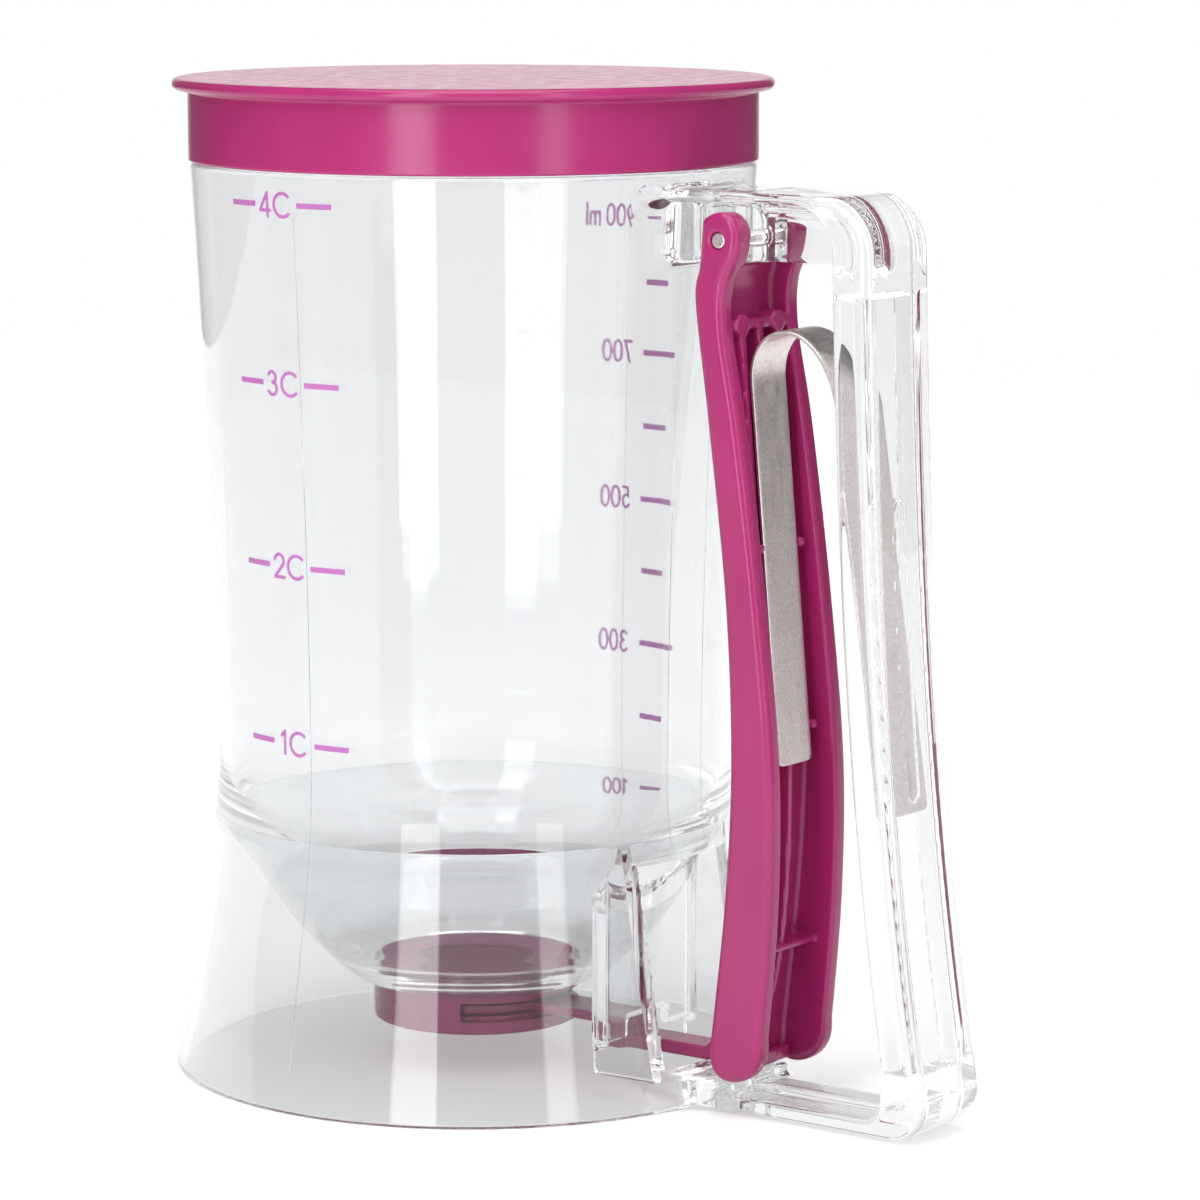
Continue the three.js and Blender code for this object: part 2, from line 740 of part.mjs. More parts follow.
// Cross ribs: a bar over the long ribs with a round pad at each side rib, and a thin one across the centre
// rib below the spring.
function makeCrossRibs() {
  const inside = triggerHalfWidth - flangeThickness + triggerWeb * HALF;
  const across = (z, thickness, proud) =>
    slab(floorXAt(z) - triggerWeb * HALF, floorXAt(z) + proud, inside, z, z + thickness);
  const { end } = springLine();
  const barZ = pinZ - barDrop;
  const bar = across(barZ, barRib, barRibProud);
  const padFront = floorXAt(barZ) - triggerWeb * HALF;
  const padEnd = floorXAt(barZ) + barRibProud + padProud;
  const pad = (y) => cylinderX(padFront, padEnd, y, barZ + barRib * HALF, padRadius);
  const thin = across(end.y - crossRibDrop, crossRib, crossRibProud);
  return bar.add(pad(ribSpread)).add(pad(-ribSpread)).add(thin);
}

// Small lugs that keep the spring's front leg from sliding sideways.
function makeSpringLugs() {
  const { top, end } = springLine();
  const inner = springHalfWidth + faceGap;
  const lugs = springLugShares.flatMap((share) => {
    const { x, y: z } = end.clone().lerp(top, share);
    const front = floorXAt(z) - triggerWeb * HALF;
    const lug = (y0, y1) => box(front, x + springThickness, y0, y1, z, z + springLug);
    return [lug(inner, inner + springLug), lug(-inner - springLug, -inner)];
  });
  return lugs.reduce((a, b) => a.add(b));
}

function makeTrigger() {
  const inside = triggerHalfWidth - flangeThickness;
  const earInside = triggerHalfWidth - earThickness;
  const earTop = pinZ + earRise + overrun;
  const earFoot = webBottom - runningGap - lap;
  const behind = pinX + triggerBow + overrun;
  const body = acrossY(triggerOutline(), triggerHalfWidth, triggerBevel);
  const earGap = slab(pinX - triggerBow, behind, earInside, earFoot, earTop);
  const hole = cylinderY(pinX, pinZ, pinRadius + pinClearance, triggerHalfWidth + overrun);
  const mouth = slab(
    pinX - triggerBow,
    floorXAt(toeHeight + toeRound) + lap,
    strapHalfWidth + runningGap,
    toeHeight - overrun,
    strapBottom + strapThickness + runningGap,
  );
  return body
    .subtract(acrossY(channelHollow(), inside))
    .subtract(earGap)
    .add(makeRibs())
    .add(makeCrossRibs())
    .add(makeSpringLugs())
    .subtract(hole)
    .subtract(mouth);
}

// The spring's middle line: a front leg, a bend and a rear leg that ends at the back of the grip's channel.
function springLine() {
  const top = new THREE.Vector2(pinX + springStandoff, pinZ - springTopDrop);
  const along = new THREE.Vector2(Math.sin(springLean), -Math.cos(springLean));
  const end = top.clone().addScaledVector(along, springFrontLength);
  const rearTop = new THREE.Vector2(top.x + springSpread, top.y - springRearDrop);
  const seat = springThickness * HALF + faceGap;
  const rearEnd = new THREE.Vector2(gripXAt(springRearFoot, gripBackWall) - seat, springRearFoot);
  const rearAlong = rearEnd.clone().sub(rearTop).normalize();
  const bend = new THREE.CubicBezierCurve(
    top,
    top.clone().addScaledVector(along, -springFrontRise),
    rearTop.clone().addScaledVector(rearAlong, -springRearRise),
    rearTop,
  );
  return { top, end, along, rearTop, rearEnd, rearAlong, bend };
}

// The spring's strip: its middle line moved out and in by half its thickness.
function makeSpring() {
  const { end, rearEnd, along, rearAlong, bend } = springLine();
  const bent = Array.from({ length: SMALL_ROUND_SEGMENTS + 1 }, (_, i) => i / SMALL_ROUND_SEGMENTS);
  const line = [
    { point: end, way: along.clone().negate() },
    ...bent.map((t) => ({ point: bend.getPoint(t), way: bend.getTangent(t) })),
    { point: rearEnd, way: rearAlong },
  ];
  const side = (shift) =>
    line.map(({ point, way }) => new THREE.Vector2(point.x - way.y * shift, point.y + way.x * shift));
  const half = springThickness * HALF;
  return acrossY(new THREE.Shape([...side(half), ...side(-half).reverse()]), springHalfWidth);
}

function makePin() {
  return cylinderY(pinX, pinZ, pinRadius, triggerHalfWidth - pinRecess);
}

// Valve housing: ring wall, floor with the outlet, deck with the seat, sleeve with lugs, and the side slot.
function makeHousing() {
  const ringTop = collarBottom - faceGap;
  const floorBottom = gateFloor - housingFloor;
  const body = revolve([
    [outletRadius, floorBottom],
    [outletRadius, gateFloor],
    [housingBore, gateFloor],
    [housingBore, deckBottom],
    [outletRadius, deckBottom],
    [outletRadius, deckTop],
    [outletRadius + seatLand, deckTop],
    [outletRadius + seatLand, deckBottom + deckThickness],
    [sleeveRadius - sleeveWall, deckBottom + deckThickness],
    [sleeveRadius - sleeveWall, deckTop],
    [sleeveRadius, deckTop],
    [sleeveRadius, ringTop],
    [housingRadius, ringTop],
    [housingRadius, housingBottom + rimRound],
    [housingRadius - rimRound, housingBottom],
    [housingBore, housingBottom],
    [housingBore, floorBottom],
  ]);
  const lugBottom = collarBottom + grooveLip + groovePlay;
  const lugRadius = sleeveRadius + lugProud;
  const lugs = sectors(sleeveRadius - rimRound, lugRadius, lugBottom, lugBottom + lugHeight, lugTwist, 0);
  const slotMiddle = (gateFloor + deckBottom) * HALF;
  const slotBottom = slotMiddle - slotHeight * HALF;
  const slotTop = slotBottom + slotHeight;
  const slotReach = housingRadius + overrun;
  const slotRing = ring(housingBore - lap, slotReach, slotBottom, slotTop);
  const slotSide = slab(0, slotReach + overrun, plateRadius + faceGap, slotBottom, slotTop);
  return body.add(lugs).subtract(slotRing.intersect(slotSide));
}

// Seal: a soft ring that fills the seat between the deck and the bowl, dished toward the outlet.
function makeSeal() {
  const bottom = deckTop + faceGap;
  return revolve([
    [outletRadius, bottom],
    [outletRadius, bottom + sealThickness - sealDish],
    [sleeveRadius, bottom + sealThickness],
    [sleeveRadius, bottom],
  ]);
}

// The gate's plate in plan: a disc cut straight across at the rear, with the root of the strap in front.
function gateOutline(end) {
  const cut = outletRadius + gateMargin;
  const cutAngle = Math.acos(-cut / plateRadius);
  const strapAngle = Math.asin(strapRootHalfWidth / plateRadius);
  const shape = new THREE.Shape();
  shape.moveTo(end, -strapRootHalfWidth);
  shape.lineTo(end, strapRootHalfWidth);
  shape.absarc(0, 0, plateRadius, strapAngle, cutAngle, false);
  shape.absarc(0, 0, plateRadius, -cutAngle, -strapAngle, false);
  return shape;
}

// Gate: a plate inside the housing, a strap that steps down and runs out, a boss, and a T-head behind the
// trigger's web.
function makeGate() {
  const webFace = floorXAt(toeHeight + toeRound);
  const headX = webFace + runningGap;
  const bossEnd = webFace - triggerWeb - runningGap;
  const shoulderEnd = recessBackX - runningGap;
  const shoulderStart = shoulderEnd - strapShoulder;
  const strapTop = strapBottom + strapThickness;
  const bossTop = strapBottom + bossHeight;
  const headEnd = headX + headThickness;
  const plate = upZ(gateOutline(shoulderEnd), gateBottom, gateTop);
  const shoulder = slab(shoulderStart, shoulderEnd, strapRootHalfWidth, strapBottom, gateTop);
  const strapSide = outline([
    [shoulderEnd - faceGap, strapBottom],
    [headEnd - faceGap, strapBottom],
    [headEnd - faceGap, strapTop],
    [bossEnd, strapTop],
    [bossEnd, bossTop],
    [bossEnd - bossLength, bossTop],
    [bossEnd - bossLength - bossHeight * HALF, strapTop],
    [shoulderEnd - faceGap, strapTop],
  ]);
  const head = slab(headX, headEnd, headHalfWidth, strapBottom, strapTop);
  return plate.add(shoulder).add(acrossY(strapSide, strapHalfWidth)).add(head);
}

// Materials.
const clear = () =>
  new THREE.MeshStandardMaterial({
    color: 0xf2f4f5,
    roughness: 0.05,
    metalness: 0,
    transparent: true,
    opacity: 0.35,
  });
const pink = () => new THREE.MeshStandardMaterial({ color: 0xb84583, roughness: 0.35, metalness: 0 });
const soft = () => new THREE.MeshStandardMaterial({ color: 0xc75a92, roughness: 0.7, metalness: 0 });
const steel = () => new THREE.MeshStandardMaterial({ color: 0xb9b3ae, roughness: 0.35, metalness: 1 });

// A solid as a named mesh.
function mesh(name, solid, material) {
  const { vertProperties, numProp, triVerts } = solid.getMesh();
  const vertices = new Float32Array((vertProperties.length / numProp) * 3);
  for (let i = 0; i < vertices.length / 3; i++) {
    vertices.set(vertProperties.subarray(i * numProp, i * numProp + 3), i * 3);
  }
  const geometry = new THREE.BufferGeometry();
  geometry.setAttribute("position", new THREE.BufferAttribute(vertices, 3));
  geometry.setIndex(new THREE.BufferAttribute(new Uint32Array(triVerts), 1));
  geometry.computeVertexNormals();
  const made = new THREE.Mesh(geometry, material);
  made.name = name;
  return made;
}

const body = new THREE.Group();
body.add(mesh("jar", makeJar(), clear()));
body.add(mesh("base_skirt", makeSkirt(), clear()));
body.add(mesh("handle_loop", makeHandle(), clear()));
body.add(mesh("pivot_pin", makePin(), steel()));
body.add(mesh("leaf_spring", makeSpring(), steel()));
body.add(mesh("valve_housing", makeHousing(), pink()));
body.add(mesh("valve_seal", makeSeal(), soft()));

const moving = new THREE.Group();
moving.add(mesh("lid", makeLid(), pink()));
moving.add(mesh("trigger", makeTrigger(), pink()));
moving.add(mesh("gate_slider", makeGate(), pink()));

// The jar's axis stands to one side, so that the origin is the middle of the whole outline.
const dispenser = new THREE.Group();
dispenser.add(body, moving);
dispenser.position.x = -centreX;

export default dispenser;
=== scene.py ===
# The looks of a hand-held batter dispenser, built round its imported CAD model.
import math

import bpy
import numpy as np
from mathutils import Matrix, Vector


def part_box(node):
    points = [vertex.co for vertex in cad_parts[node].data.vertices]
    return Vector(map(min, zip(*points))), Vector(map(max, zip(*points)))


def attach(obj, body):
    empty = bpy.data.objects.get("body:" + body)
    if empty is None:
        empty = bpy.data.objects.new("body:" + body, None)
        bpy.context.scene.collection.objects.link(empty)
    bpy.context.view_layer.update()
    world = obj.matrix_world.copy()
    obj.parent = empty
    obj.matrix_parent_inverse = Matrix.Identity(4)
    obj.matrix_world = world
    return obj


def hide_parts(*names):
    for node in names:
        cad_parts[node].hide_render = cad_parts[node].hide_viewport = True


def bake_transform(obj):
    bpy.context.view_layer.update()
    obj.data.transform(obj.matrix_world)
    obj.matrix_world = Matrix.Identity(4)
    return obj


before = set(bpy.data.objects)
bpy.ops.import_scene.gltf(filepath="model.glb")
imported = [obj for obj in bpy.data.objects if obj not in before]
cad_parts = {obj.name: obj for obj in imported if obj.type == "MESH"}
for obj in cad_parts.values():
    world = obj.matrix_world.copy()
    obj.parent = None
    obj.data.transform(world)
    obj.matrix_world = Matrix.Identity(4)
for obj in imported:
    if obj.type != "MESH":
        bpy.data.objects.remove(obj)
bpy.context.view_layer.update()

import openvdb
from mathutils import Vector

# Shapes are worked out in millimetres from the jar's axis, and become metres in the row frame.
MM = 0.001
AXIS_X = (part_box("jar")[0][0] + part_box("jar")[1][0]) / 2

# Jar, skirt and bowl.
BASE_R, WAIST_R, WAIST_Z, NECK_R = 57.3, 48.65, 58.0, 52.6
SHOULDER_FOOT, SHOULDER, NECK_OUT, NECK_IN, RIM = 168.0, 170.4, 51.3, 49.8, 183.1
WALL, SKIRT_WALL, RIM_LAND, EDGE = 2.3, 2.1, 1.9, 0.5
SKIRT_BEND, WALL_BEND, SHOULDER_EDGE = (0.971, 0.76), (0.063, 0.427), 0.14
BOWL_IN_R, BOWL_WALL, MOUTH_R, MOUTH_Z, COLLAR_Z = 46.35, 1.9, 18.8, 20.2, 15.9
CROTCH_R, CROTCH_Z, EVEN_WALL, ROOM_TOP, ROOM_R = 46.75, 48.6, (19.0, 44.5), 49.3, 60
BOWL_OUTSIDE = (
    *((CROTCH_R, CROTCH_Z), (45.4, 43.6), (41.1, 37.1), (37.3, 31.2), (33.5, 26.1)),
    *((29.8, 22.2), (26.0, 18.7), (23.4, 16.7), (21.6, COLLAR_Z)),
)
BOWL_IN_TOP = ((BOWL_IN_R, WAIST_Z), (46.2, 53.5), (45.6, 49.6))
BOWL_IN_FOOT = ((22.6, 20.5), (MOUTH_R, MOUTH_Z))
RECESS_BACK, RECESS_WALL, RECESS_HALF, CHEEK_Z, SILL, LINTEL = 38.5, 1.9, 13.5, 5.0, 6.8, 44.5
STRAP_PASS, STRAP_ROOM, NOTCH_HALF, WINDOW_PLAY = 10.4, 13.9, 6.0, 0.9
JAR_SEGMENTS, CREASE = 288, 32

# Mould lines: how wide, proud and deep they are, and the angle, foot and top of each.
LINE_HALF, LINE_PROUD, LINE_DEPTH = 0.2, 0.1, 0.5
MOULD_LINES = ((-90, 4, 167), (90, 4, 167), (-6.2, 47, 156), (6.2, 47, 156))

# Handle.
HANDLE_HALF, HANDLE_BEVEL, ARM_TOP, ARM_BOTTOM, WEB_BOTTOM = 9.0, 0.9, 167.8, 165.9, 155.0
GRIP_TOP_X, GRIP_FOOT_X, GRIP_DEPTH, GRIP_BACK = 94.6, 107.3, 8.8, 4.2
GRIP_BENDS = ((0.09, 111.14), (0.29, 57.54))
TOP_ROUND, TOP_INNER, FOOT_ROUND, FOOT_INNER, LIFT, LOWER_TOP = 10.5, 8.8, 8.0, 3.5, 0.4, 3.6
CHANNEL_HALF, CHANNEL_FOOT, CHANNEL_TOP = 6.6, 12.0, 150.0
POCKET_DEPTH, POCKET_HALF, POCKET_FOOT, POCKET_TOP = 0.8, 1.9, 62.0, 112.0
FLARE_HALF, FLARE_LENGTH, FLARE_RISE = 17.8, 8.5, 6.4
WEB_HALF, WEB_FILLET, KNUCKLE_HALF, KNUCKLE_END = 2.2, 4.4, 7.0, 67.4
RIB_HALF, RIB_TOP = 3.0, 5.2
PIN_X, PIN_Z, PIN_R, PIN_PLAY, PIN_HALF, BORE_EDGE = 64.0, 159.1, 1.5, 0.08, 12.1, 0.25
ROOT_END, ROOT_BLEND, SINK, ROOT_DEPTH = 56.9, 2.4, 0.06, 0.7
HANDLE_BOX, HANDLE_STEP, HANDLE_CREASE = ((37.5, -20.0, -0.4), (108.6, 20.0, 169.0)), 0.5, 42

# Trigger.
LEVER_HALF, FLANGE, EAR, WEB, LEVER_ROUND, TOE_Z = 12.5, 3.8, 4.9, 2.2, 1.6, 6.7
EAR_HALF, EAR_SPAN, LEVER_LENGTH, BOW, EAR_RISE = 4.0, 17.2, 135.2, 12.0, 5.0
TOE_ROUND, HEEL_ROUND, EAR_FOOT, EAR_REAR_PULL, EAR_FRONT_PULL = 4.0, 7.0, 154.5, 2.4, 1.0
RIB_SPREAD, RIB_THIN, BAR_Z, BAR_THICK, BAR_PROUD = 5.6, 0.8, 142.8, 1.8, 3.2
CROSS_THICK, CROSS_PROUD, CROSS_DROP, PAD_R, PAD_PROUD = 1.0, 5.0, 34.5, 2.1, 0.5
LUG, LUG_GAP, LUG_SHARES = 1.6, 0.3, (0.08, 0.56)
CENTRE_FOOT, MOUTH_HALF, MOUTH_TOP, HOLLOW_REACH = 13.3, 3.9, 10.6, 82
LEVER_BOX, LEVER_STEP, LEVER_CREASE = ((57.0, -13.2, 6.0), (80.0, 13.2, 165.0)), 0.45, 40

# Leaf spring.
SPRING_T, SPRING_HALF, SPRING_TOP, LEAN, SPRING_RUN = 0.8, 5.25, (66.6, 133.5), 0.09, 69.3
SPREAD, REAR_DROP, FRONT_RISE, REAR_RISE, REAR_FOOT, SEAT = 18.6, 5.5, 12.5, 20.0, 58.0, 0.7
STRIP_CORNER, STRIP_EDGE, STRIP_STEPS = 1.2, 0.2, 160

# Valve.
HOUSING_R, HOUSING_BORE, HOUSING_Z, FLOOR_Z, GATE_FLOOR = 19.7, 17.5, 8.2, 9.0, 11.3
DECK_Z, DECK_TOP, DECK_SEAT, OUTLET_R, SEAT_R = 13.7, 16.0, 18.2, 11.0, 13.0
SLEEVE_IN, SLEEVE_R, RING_TOP, SLOT_Z, SLOT_TOP = 16.8, 18.5, 15.6, 10.6, 14.4
SEAL_Z, SEAL_T, SEAL_DISH = 18.5, 1.4, 0.5
SLOT_BOX, SLOT_STEP = ((-1.0, -18.4, SLOT_Z - 1), (23.0, 18.4, SLOT_TOP + 1)), 0.3
PLATE_R, PLATE_CUT, PLATE_Z, PLATE_TOP = 17.0, 12.6, 11.6, 13.4
STRAP_ROOT, STRAP_HALF, STRAP_Z, STRAP_TOP, SHOULDER_X = 5.0, 3.4, 7.6, 10.1, (34.0, 38.0)
BOSS_TOP, HEAD_HALF, HEAD_T, HEAD_GAP = 12.8, 7.8, 1.7, 0.5
GATE_BOX, GATE_STEP = ((-14.0, -18.0, 6.6), (70.0, 18.0, 14.4)), 0.36

# Lid.
LID_R, LID_SKIRT_R, LID_WALL, LID_FLANGE, LID_TOP_T, LID_Z, TOP_Z = 55.9, 53.0, 1.4, 2.2, 2.4, 170.7, 186.0


# Outlines: lists of points in a plane.
def arc(x, y, radius, start, end, steps=12):
    turns = np.radians(np.linspace(start, end, steps + 1))
    return [(x + radius * math.cos(t), y + radius * math.sin(t)) for t in turns]


def bezier(points, steps=24):
    t = np.linspace(0, 1, steps + 1)[:, None]
    layers = [np.ones((steps + 1, 1)) * np.array(p, float) for p in points]
    while len(layers) > 1:
        layers = [a * (1 - t) + b * t for a, b in zip(layers, layers[1:])]
    return [tuple(p) for p in layers[0]]


def bend(start, end, radius_share, height_share, steps=24):
    """A quadratic curve whose control point lies at a share of each difference."""
    (x0, y0), (x1, y1) = start, end
    control = (x0 + (x1 - x0) * radius_share, y0 + (y1 - y0) * height_share)
    return bezier([start, control, end], steps)


def catmull(points, steps=96):
    """A smooth line through the points."""
    p = np.array([points[0], *points, points[-1]], float)
    line = []
    for t in np.linspace(0, len(points) - 1, steps + 1):
        i = min(int(t), len(points) - 2)
        w = t - i
        a, b, c, d = p[i : i + 4]
        v0, v1 = (c - a) / 2, (d - b) / 2
        cubic = (2 * b - 2 * c + v0 + v1) * w**3 + (-3 * b + 3 * c - 2 * v0 - v1) * w**2
        line.append(tuple(cubic + v0 * w + b))
    return line


def rounded(points, steps=5):
    """An outline with each corner (x, y, radius) rounded; a plain (x, y) stays.
    A point just outside each bend keeps the flats beside it shaded flat."""
    result = []
    for i, point in enumerate(points):
        if len(point) == 2 or not point[2]:
            result.append(tuple(point[:2]))
            continue
        corner = np.array(point[:2])
        before = np.array(points[i - 1][:2]) - corner
        after = np.array(points[(i + 1) % len(points)][:2]) - corner
        reach = [min(point[2], np.linalg.norm(v) * 0.45) / np.linalg.norm(v) for v in (before, after)]
        result.append(tuple(corner + before * reach[0] * 1.08))
        result += bezier([corner + before * reach[0], corner, corner + after * reach[1]], steps)
        result.append(tuple(corner + after * reach[1] * 1.08))
    return result


def across(line, height):
    """The first coordinate of a line where its second has that height."""
    line = np.array(sorted(line, key=lambda p: p[1]))
    return np.interp(height, line[:, 1], line[:, 0])


# Fields: functions of x, y and z that give the distance to a surface, negative inside.
def polygon(points):
    p = np.array(points, float)
    p = p[np.linalg.norm(p - np.roll(p, 1, axis=0), axis=1) > 1e-4]

    def distance(u, v):
        u, v = np.broadcast_arrays(u, v)
        best = np.full(u.shape, np.inf)
        inside = np.zeros(u.shape, bool)
        for (x0, y0), (x1, y1) in zip(p, np.roll(p, -1, axis=0)):
            ex, ey, wx, wy = x1 - x0, y1 - y0, u - x0, v - y0
            t = np.clip((wx * ex + wy * ey) / (ex * ex + ey * ey), 0, 1)
            best = np.minimum(best, (wx - ex * t) ** 2 + (wy - ey * t) ** 2)
            inside ^= ((y0 <= v) != (y1 <= v)) & ((ex * wy > ey * wx) == (y1 > y0))
        return np.where(inside, -1, 1) * np.sqrt(best)

    return distance


def join(a, b, r):
    return np.maximum(r, np.minimum(a, b)) - np.hypot(np.maximum(r - a, 0), np.maximum(r - b, 0))


def common(a, b, r):
    return np.minimum(-r, np.maximum(a, b)) + np.hypot(np.maximum(r + a, 0), np.maximum(r + b, 0))


def cut(a, b, r):
    return common(a, -b, r)


def span(v, low, high):
    return np.abs(v - (low + high) / 2) - (high - low) / 2


def block(x, y, z, xs, half, zs, r):
    """A rounded box between two places along X and Z, as wide to both sides of the middle plane."""
    return common(common(span(x, *xs), span(z, *zs), r), np.abs(y) - half, r)


def fill_mesh(field, box, step):
    """A mesh of the field's zero surface in a box, with each point moved onto it."""
    low, high = box
    sides = [np.arange(a, b + step, step) for a, b in zip(low, high)]
    x, y, z = np.meshgrid(*sides, indexing="ij", sparse=True)
    values = np.zeros([len(s) for s in sides], np.float32)
    values[:] = np.clip(field(x, y, z), -3 * step, 3 * step)
    for k in (0, -1):
        values[k] = values[:, k] = values[:, :, k] = step
    grid = openvdb.FloatGrid(background=3 * step)
    grid.copyFromArray(values)
    points, quads = grid.convertToQuads(isovalue=0.0)
    points = relaxed(points.astype(float), quads) * step + np.array(low)
    nudge = step * 0.2
    for _ in range(2):
        here = field(*points.T)
        slope = np.array([(field(*(points + d).T) - here) / nudge for d in np.eye(3) * nudge]).T
        length = np.maximum(np.linalg.norm(slope, axis=1), 0.5)
        shift = slope * (np.clip(here, -step, step) / length**2)[:, None]
        inner = np.all((points > np.array(low) + step) & (points < np.array(high) - step), axis=1)
        points[inner] -= shift[inner]
    return points, [tuple(q) for q in quads.tolist()]


def relaxed(points, quads, rounds=3):
    """Points moved part of the way to the middle of their neighbours, which evens the faces out."""
    ends = np.concatenate([quads[:, [k, (k + 1) % 4]] for k in range(4)]).astype(np.int64)
    count = np.bincount(ends[:, 0], minlength=len(points)) + np.bincount(ends[:, 1], minlength=len(points))
    for _ in range(rounds):
        total = np.zeros_like(points)
        for k in range(3):
            total[:, k] = np.bincount(ends[:, 0], points[ends[:, 1], k], len(points))
            total[:, k] += np.bincount(ends[:, 1], points[ends[:, 0], k], len(points))
        points = points * 0.4 + total / count[:, None] * 0.6
    return points


def revolve(profile, segments=JAR_SEGMENTS):
    """A closed profile of (radius, height) pairs turned about the jar's axis."""
    turns = np.linspace(0, 2 * math.pi, segments, endpoint=False)
    rings, points = [], []
    for radius, height in profile:
        on_axis = abs(radius) < 1e-6
        count = 1 if on_axis else segments
        rings.append([len(points) + (0 if on_axis else i) for i in range(segments)])
        points += [(radius * math.cos(t), radius * math.sin(t), height) for t in turns[:count]]
    faces = []
    for near, far in zip(rings, rings[1:] + rings[:1]):
        for i in range(segments):
            j = (i + 1) % segments
            face = list(dict.fromkeys([near[i], near[j], far[j], far[i]]))
            if len(face) > 2:
                faces.append(tuple(face))
    return np.array(points), faces


def piece(name, points, faces, crease=CREASE):
    """A smooth-shaded object in the row frame, from points in millimetres."""
    points = np.array(points, float) * MM + np.array((AXIS_X, 0, 0))
    mesh = bpy.data.meshes.new(name)
    mesh.from_pydata(points.tolist(), [], faces)
    mesh.validate()
    if signed_volume(mesh) < 0:
        mesh.flip_normals()
    made = bpy.data.objects.new(name, mesh)
    bpy.context.collection.objects.link(made)
    smooth(made, crease)
    return made


def turned(name, profile, segments=JAR_SEGMENTS):
    return piece(name, *revolve(rounded(profile), segments))


def signed_volume(mesh):
    """Above zero where the faces look outward."""
    mesh.calc_loop_triangles()
    corners = np.empty(len(mesh.vertices) * 3)
    mesh.vertices.foreach_get("co", corners)
    corners = corners.reshape(-1, 3)
    triangles = np.empty(len(mesh.loop_triangles) * 3, np.int32)
    mesh.loop_triangles.foreach_get("vertices", triangles)
    a, b, c = (corners[triangles.reshape(-1, 3)[:, k]] for k in range(3))
    return np.einsum("ij,ij->", a, np.cross(b, c))


def smooth(made, crease):
    made.data.shade_smooth()
    made.data.set_sharp_from_angle(angle=math.radians(crease))


def combine(made, other, operation, crease=CREASE):
    """Joins or cuts one closed mesh with another, which is used up."""
    change = made.modifiers.new(operation, "BOOLEAN")
    change.object, change.operation, change.solver = other, operation, "MANIFOLD"
    graph = bpy.context.evaluated_depsgraph_get()
    result = bpy.data.meshes.new_from_object(made.evaluated_get(graph))
    made.modifiers.clear()
    made.data = result
    bpy.data.objects.remove(other)
    smooth(made, crease)


def settle(made, body, slot, material, *nodes):
    """The piece gets its material and rides on its body, in place of CAD nodes."""
    made.data.materials.clear()
    made.data.materials.append(material)
    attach(made, body)
    if nodes:
        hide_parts(*nodes)


# Clear body: jar, skirt and handle as one moulding.
def inner_bowl():
    """The bowl's inside: its outside moved in by the wall, from the jar's wall to the mouth."""
    low, high = EVEN_WALL
    line = np.array([p for p in bowl_outer if low < p[1] < high])
    ways = np.gradient(line, axis=0)
    ways /= np.linalg.norm(ways, axis=1)[:, None]
    moved = line + np.stack([ways[:, 1], -ways[:, 0]], axis=1) * BOWL_WALL
    return catmull([*BOWL_IN_TOP, *moved[::6].tolist(), *BOWL_IN_FOOT], 80)


skirt_line = bend((BASE_R, 0), (WAIST_R, WAIST_Z), *SKIRT_BEND)
wall_line = bend((WAIST_R, WAIST_Z), (NECK_R, SHOULDER_FOOT), *WALL_BEND)
inner_line = bend((BOWL_IN_R, WAIST_Z), (NECK_IN, RIM), *WALL_BEND)
bowl_outer = catmull(BOWL_OUTSIDE, 64)
bowl_inner = inner_bowl()
outer_line = skirt_line + wall_line[1:]
grip_bends = [(GRIP_TOP_X + (GRIP_FOOT_X - GRIP_TOP_X) * share, z) for share, z in GRIP_BENDS]
grip_line = bezier([(GRIP_TOP_X, ARM_TOP - TOP_ROUND), *grip_bends, (GRIP_FOOT_X, LIFT + FOOT_ROUND)], 40)


def jar_profile():
    below = CROTCH_Z - EDGE
    skirt_inside = [(r - SKIRT_WALL, z) for r, z in skirt_line if z < below]
    return [
        (NECK_IN, RIM, EDGE),
        (NECK_OUT, RIM, EDGE),
        (NECK_OUT, SHOULDER, 0.6),
        (NECK_R + SHOULDER_EDGE, SHOULDER, 0.8),
        *wall_line[::-1],
        *skirt_line[::-1][1:-1],
        (BASE_R, 0, EDGE),
        (BASE_R - RIM_LAND, 0, EDGE),
        *skirt_inside[1:],
        (CROTCH_R, CROTCH_Z, 0.35),
        *[(r, z) for r, z in bowl_outer if COLLAR_Z + 0.4 < z < below],
        (MOUTH_R, COLLAR_Z, 0.4),
        *bowl_inner[::-1],
        *inner_line[1:-1],
    ]


def gap_outside(x, y, z):
    """Distance outside the jar's and skirt's outer face."""
    return (np.hypot(x, y) - across(outer_line, z)) * 0.99


def band_outline():
    """The handle's loop from the side: a band that is open toward the jar."""
    inside_x = GRIP_TOP_X - GRIP_DEPTH
    foot_z = LOWER_TOP + FOOT_INNER
    grip_low, grip_high = foot_z + FOOT_ROUND, ARM_BOTTOM - TOP_INNER - 0.3
    inner = [(x - GRIP_DEPTH, z) for x, z in grip_line[::-1] if grip_low < z < grip_high]
    foot_x = across(grip_line, grip_low) - GRIP_DEPTH
    return [
        (NECK_R - WALL, ARM_TOP),
        *outer_corner(),
        (BASE_R - WALL, LIFT),
        (BASE_R - WALL, LOWER_TOP),
        *bezier([(foot_x - FOOT_INNER, LOWER_TOP), (foot_x, LOWER_TOP), (foot_x, foot_z)], 8),
        *inner,
        *arc(inside_x - TOP_INNER, ARM_BOTTOM - TOP_INNER, TOP_INNER, 0, 90),
        (NECK_R - WALL, ARM_BOTTOM),
    ]


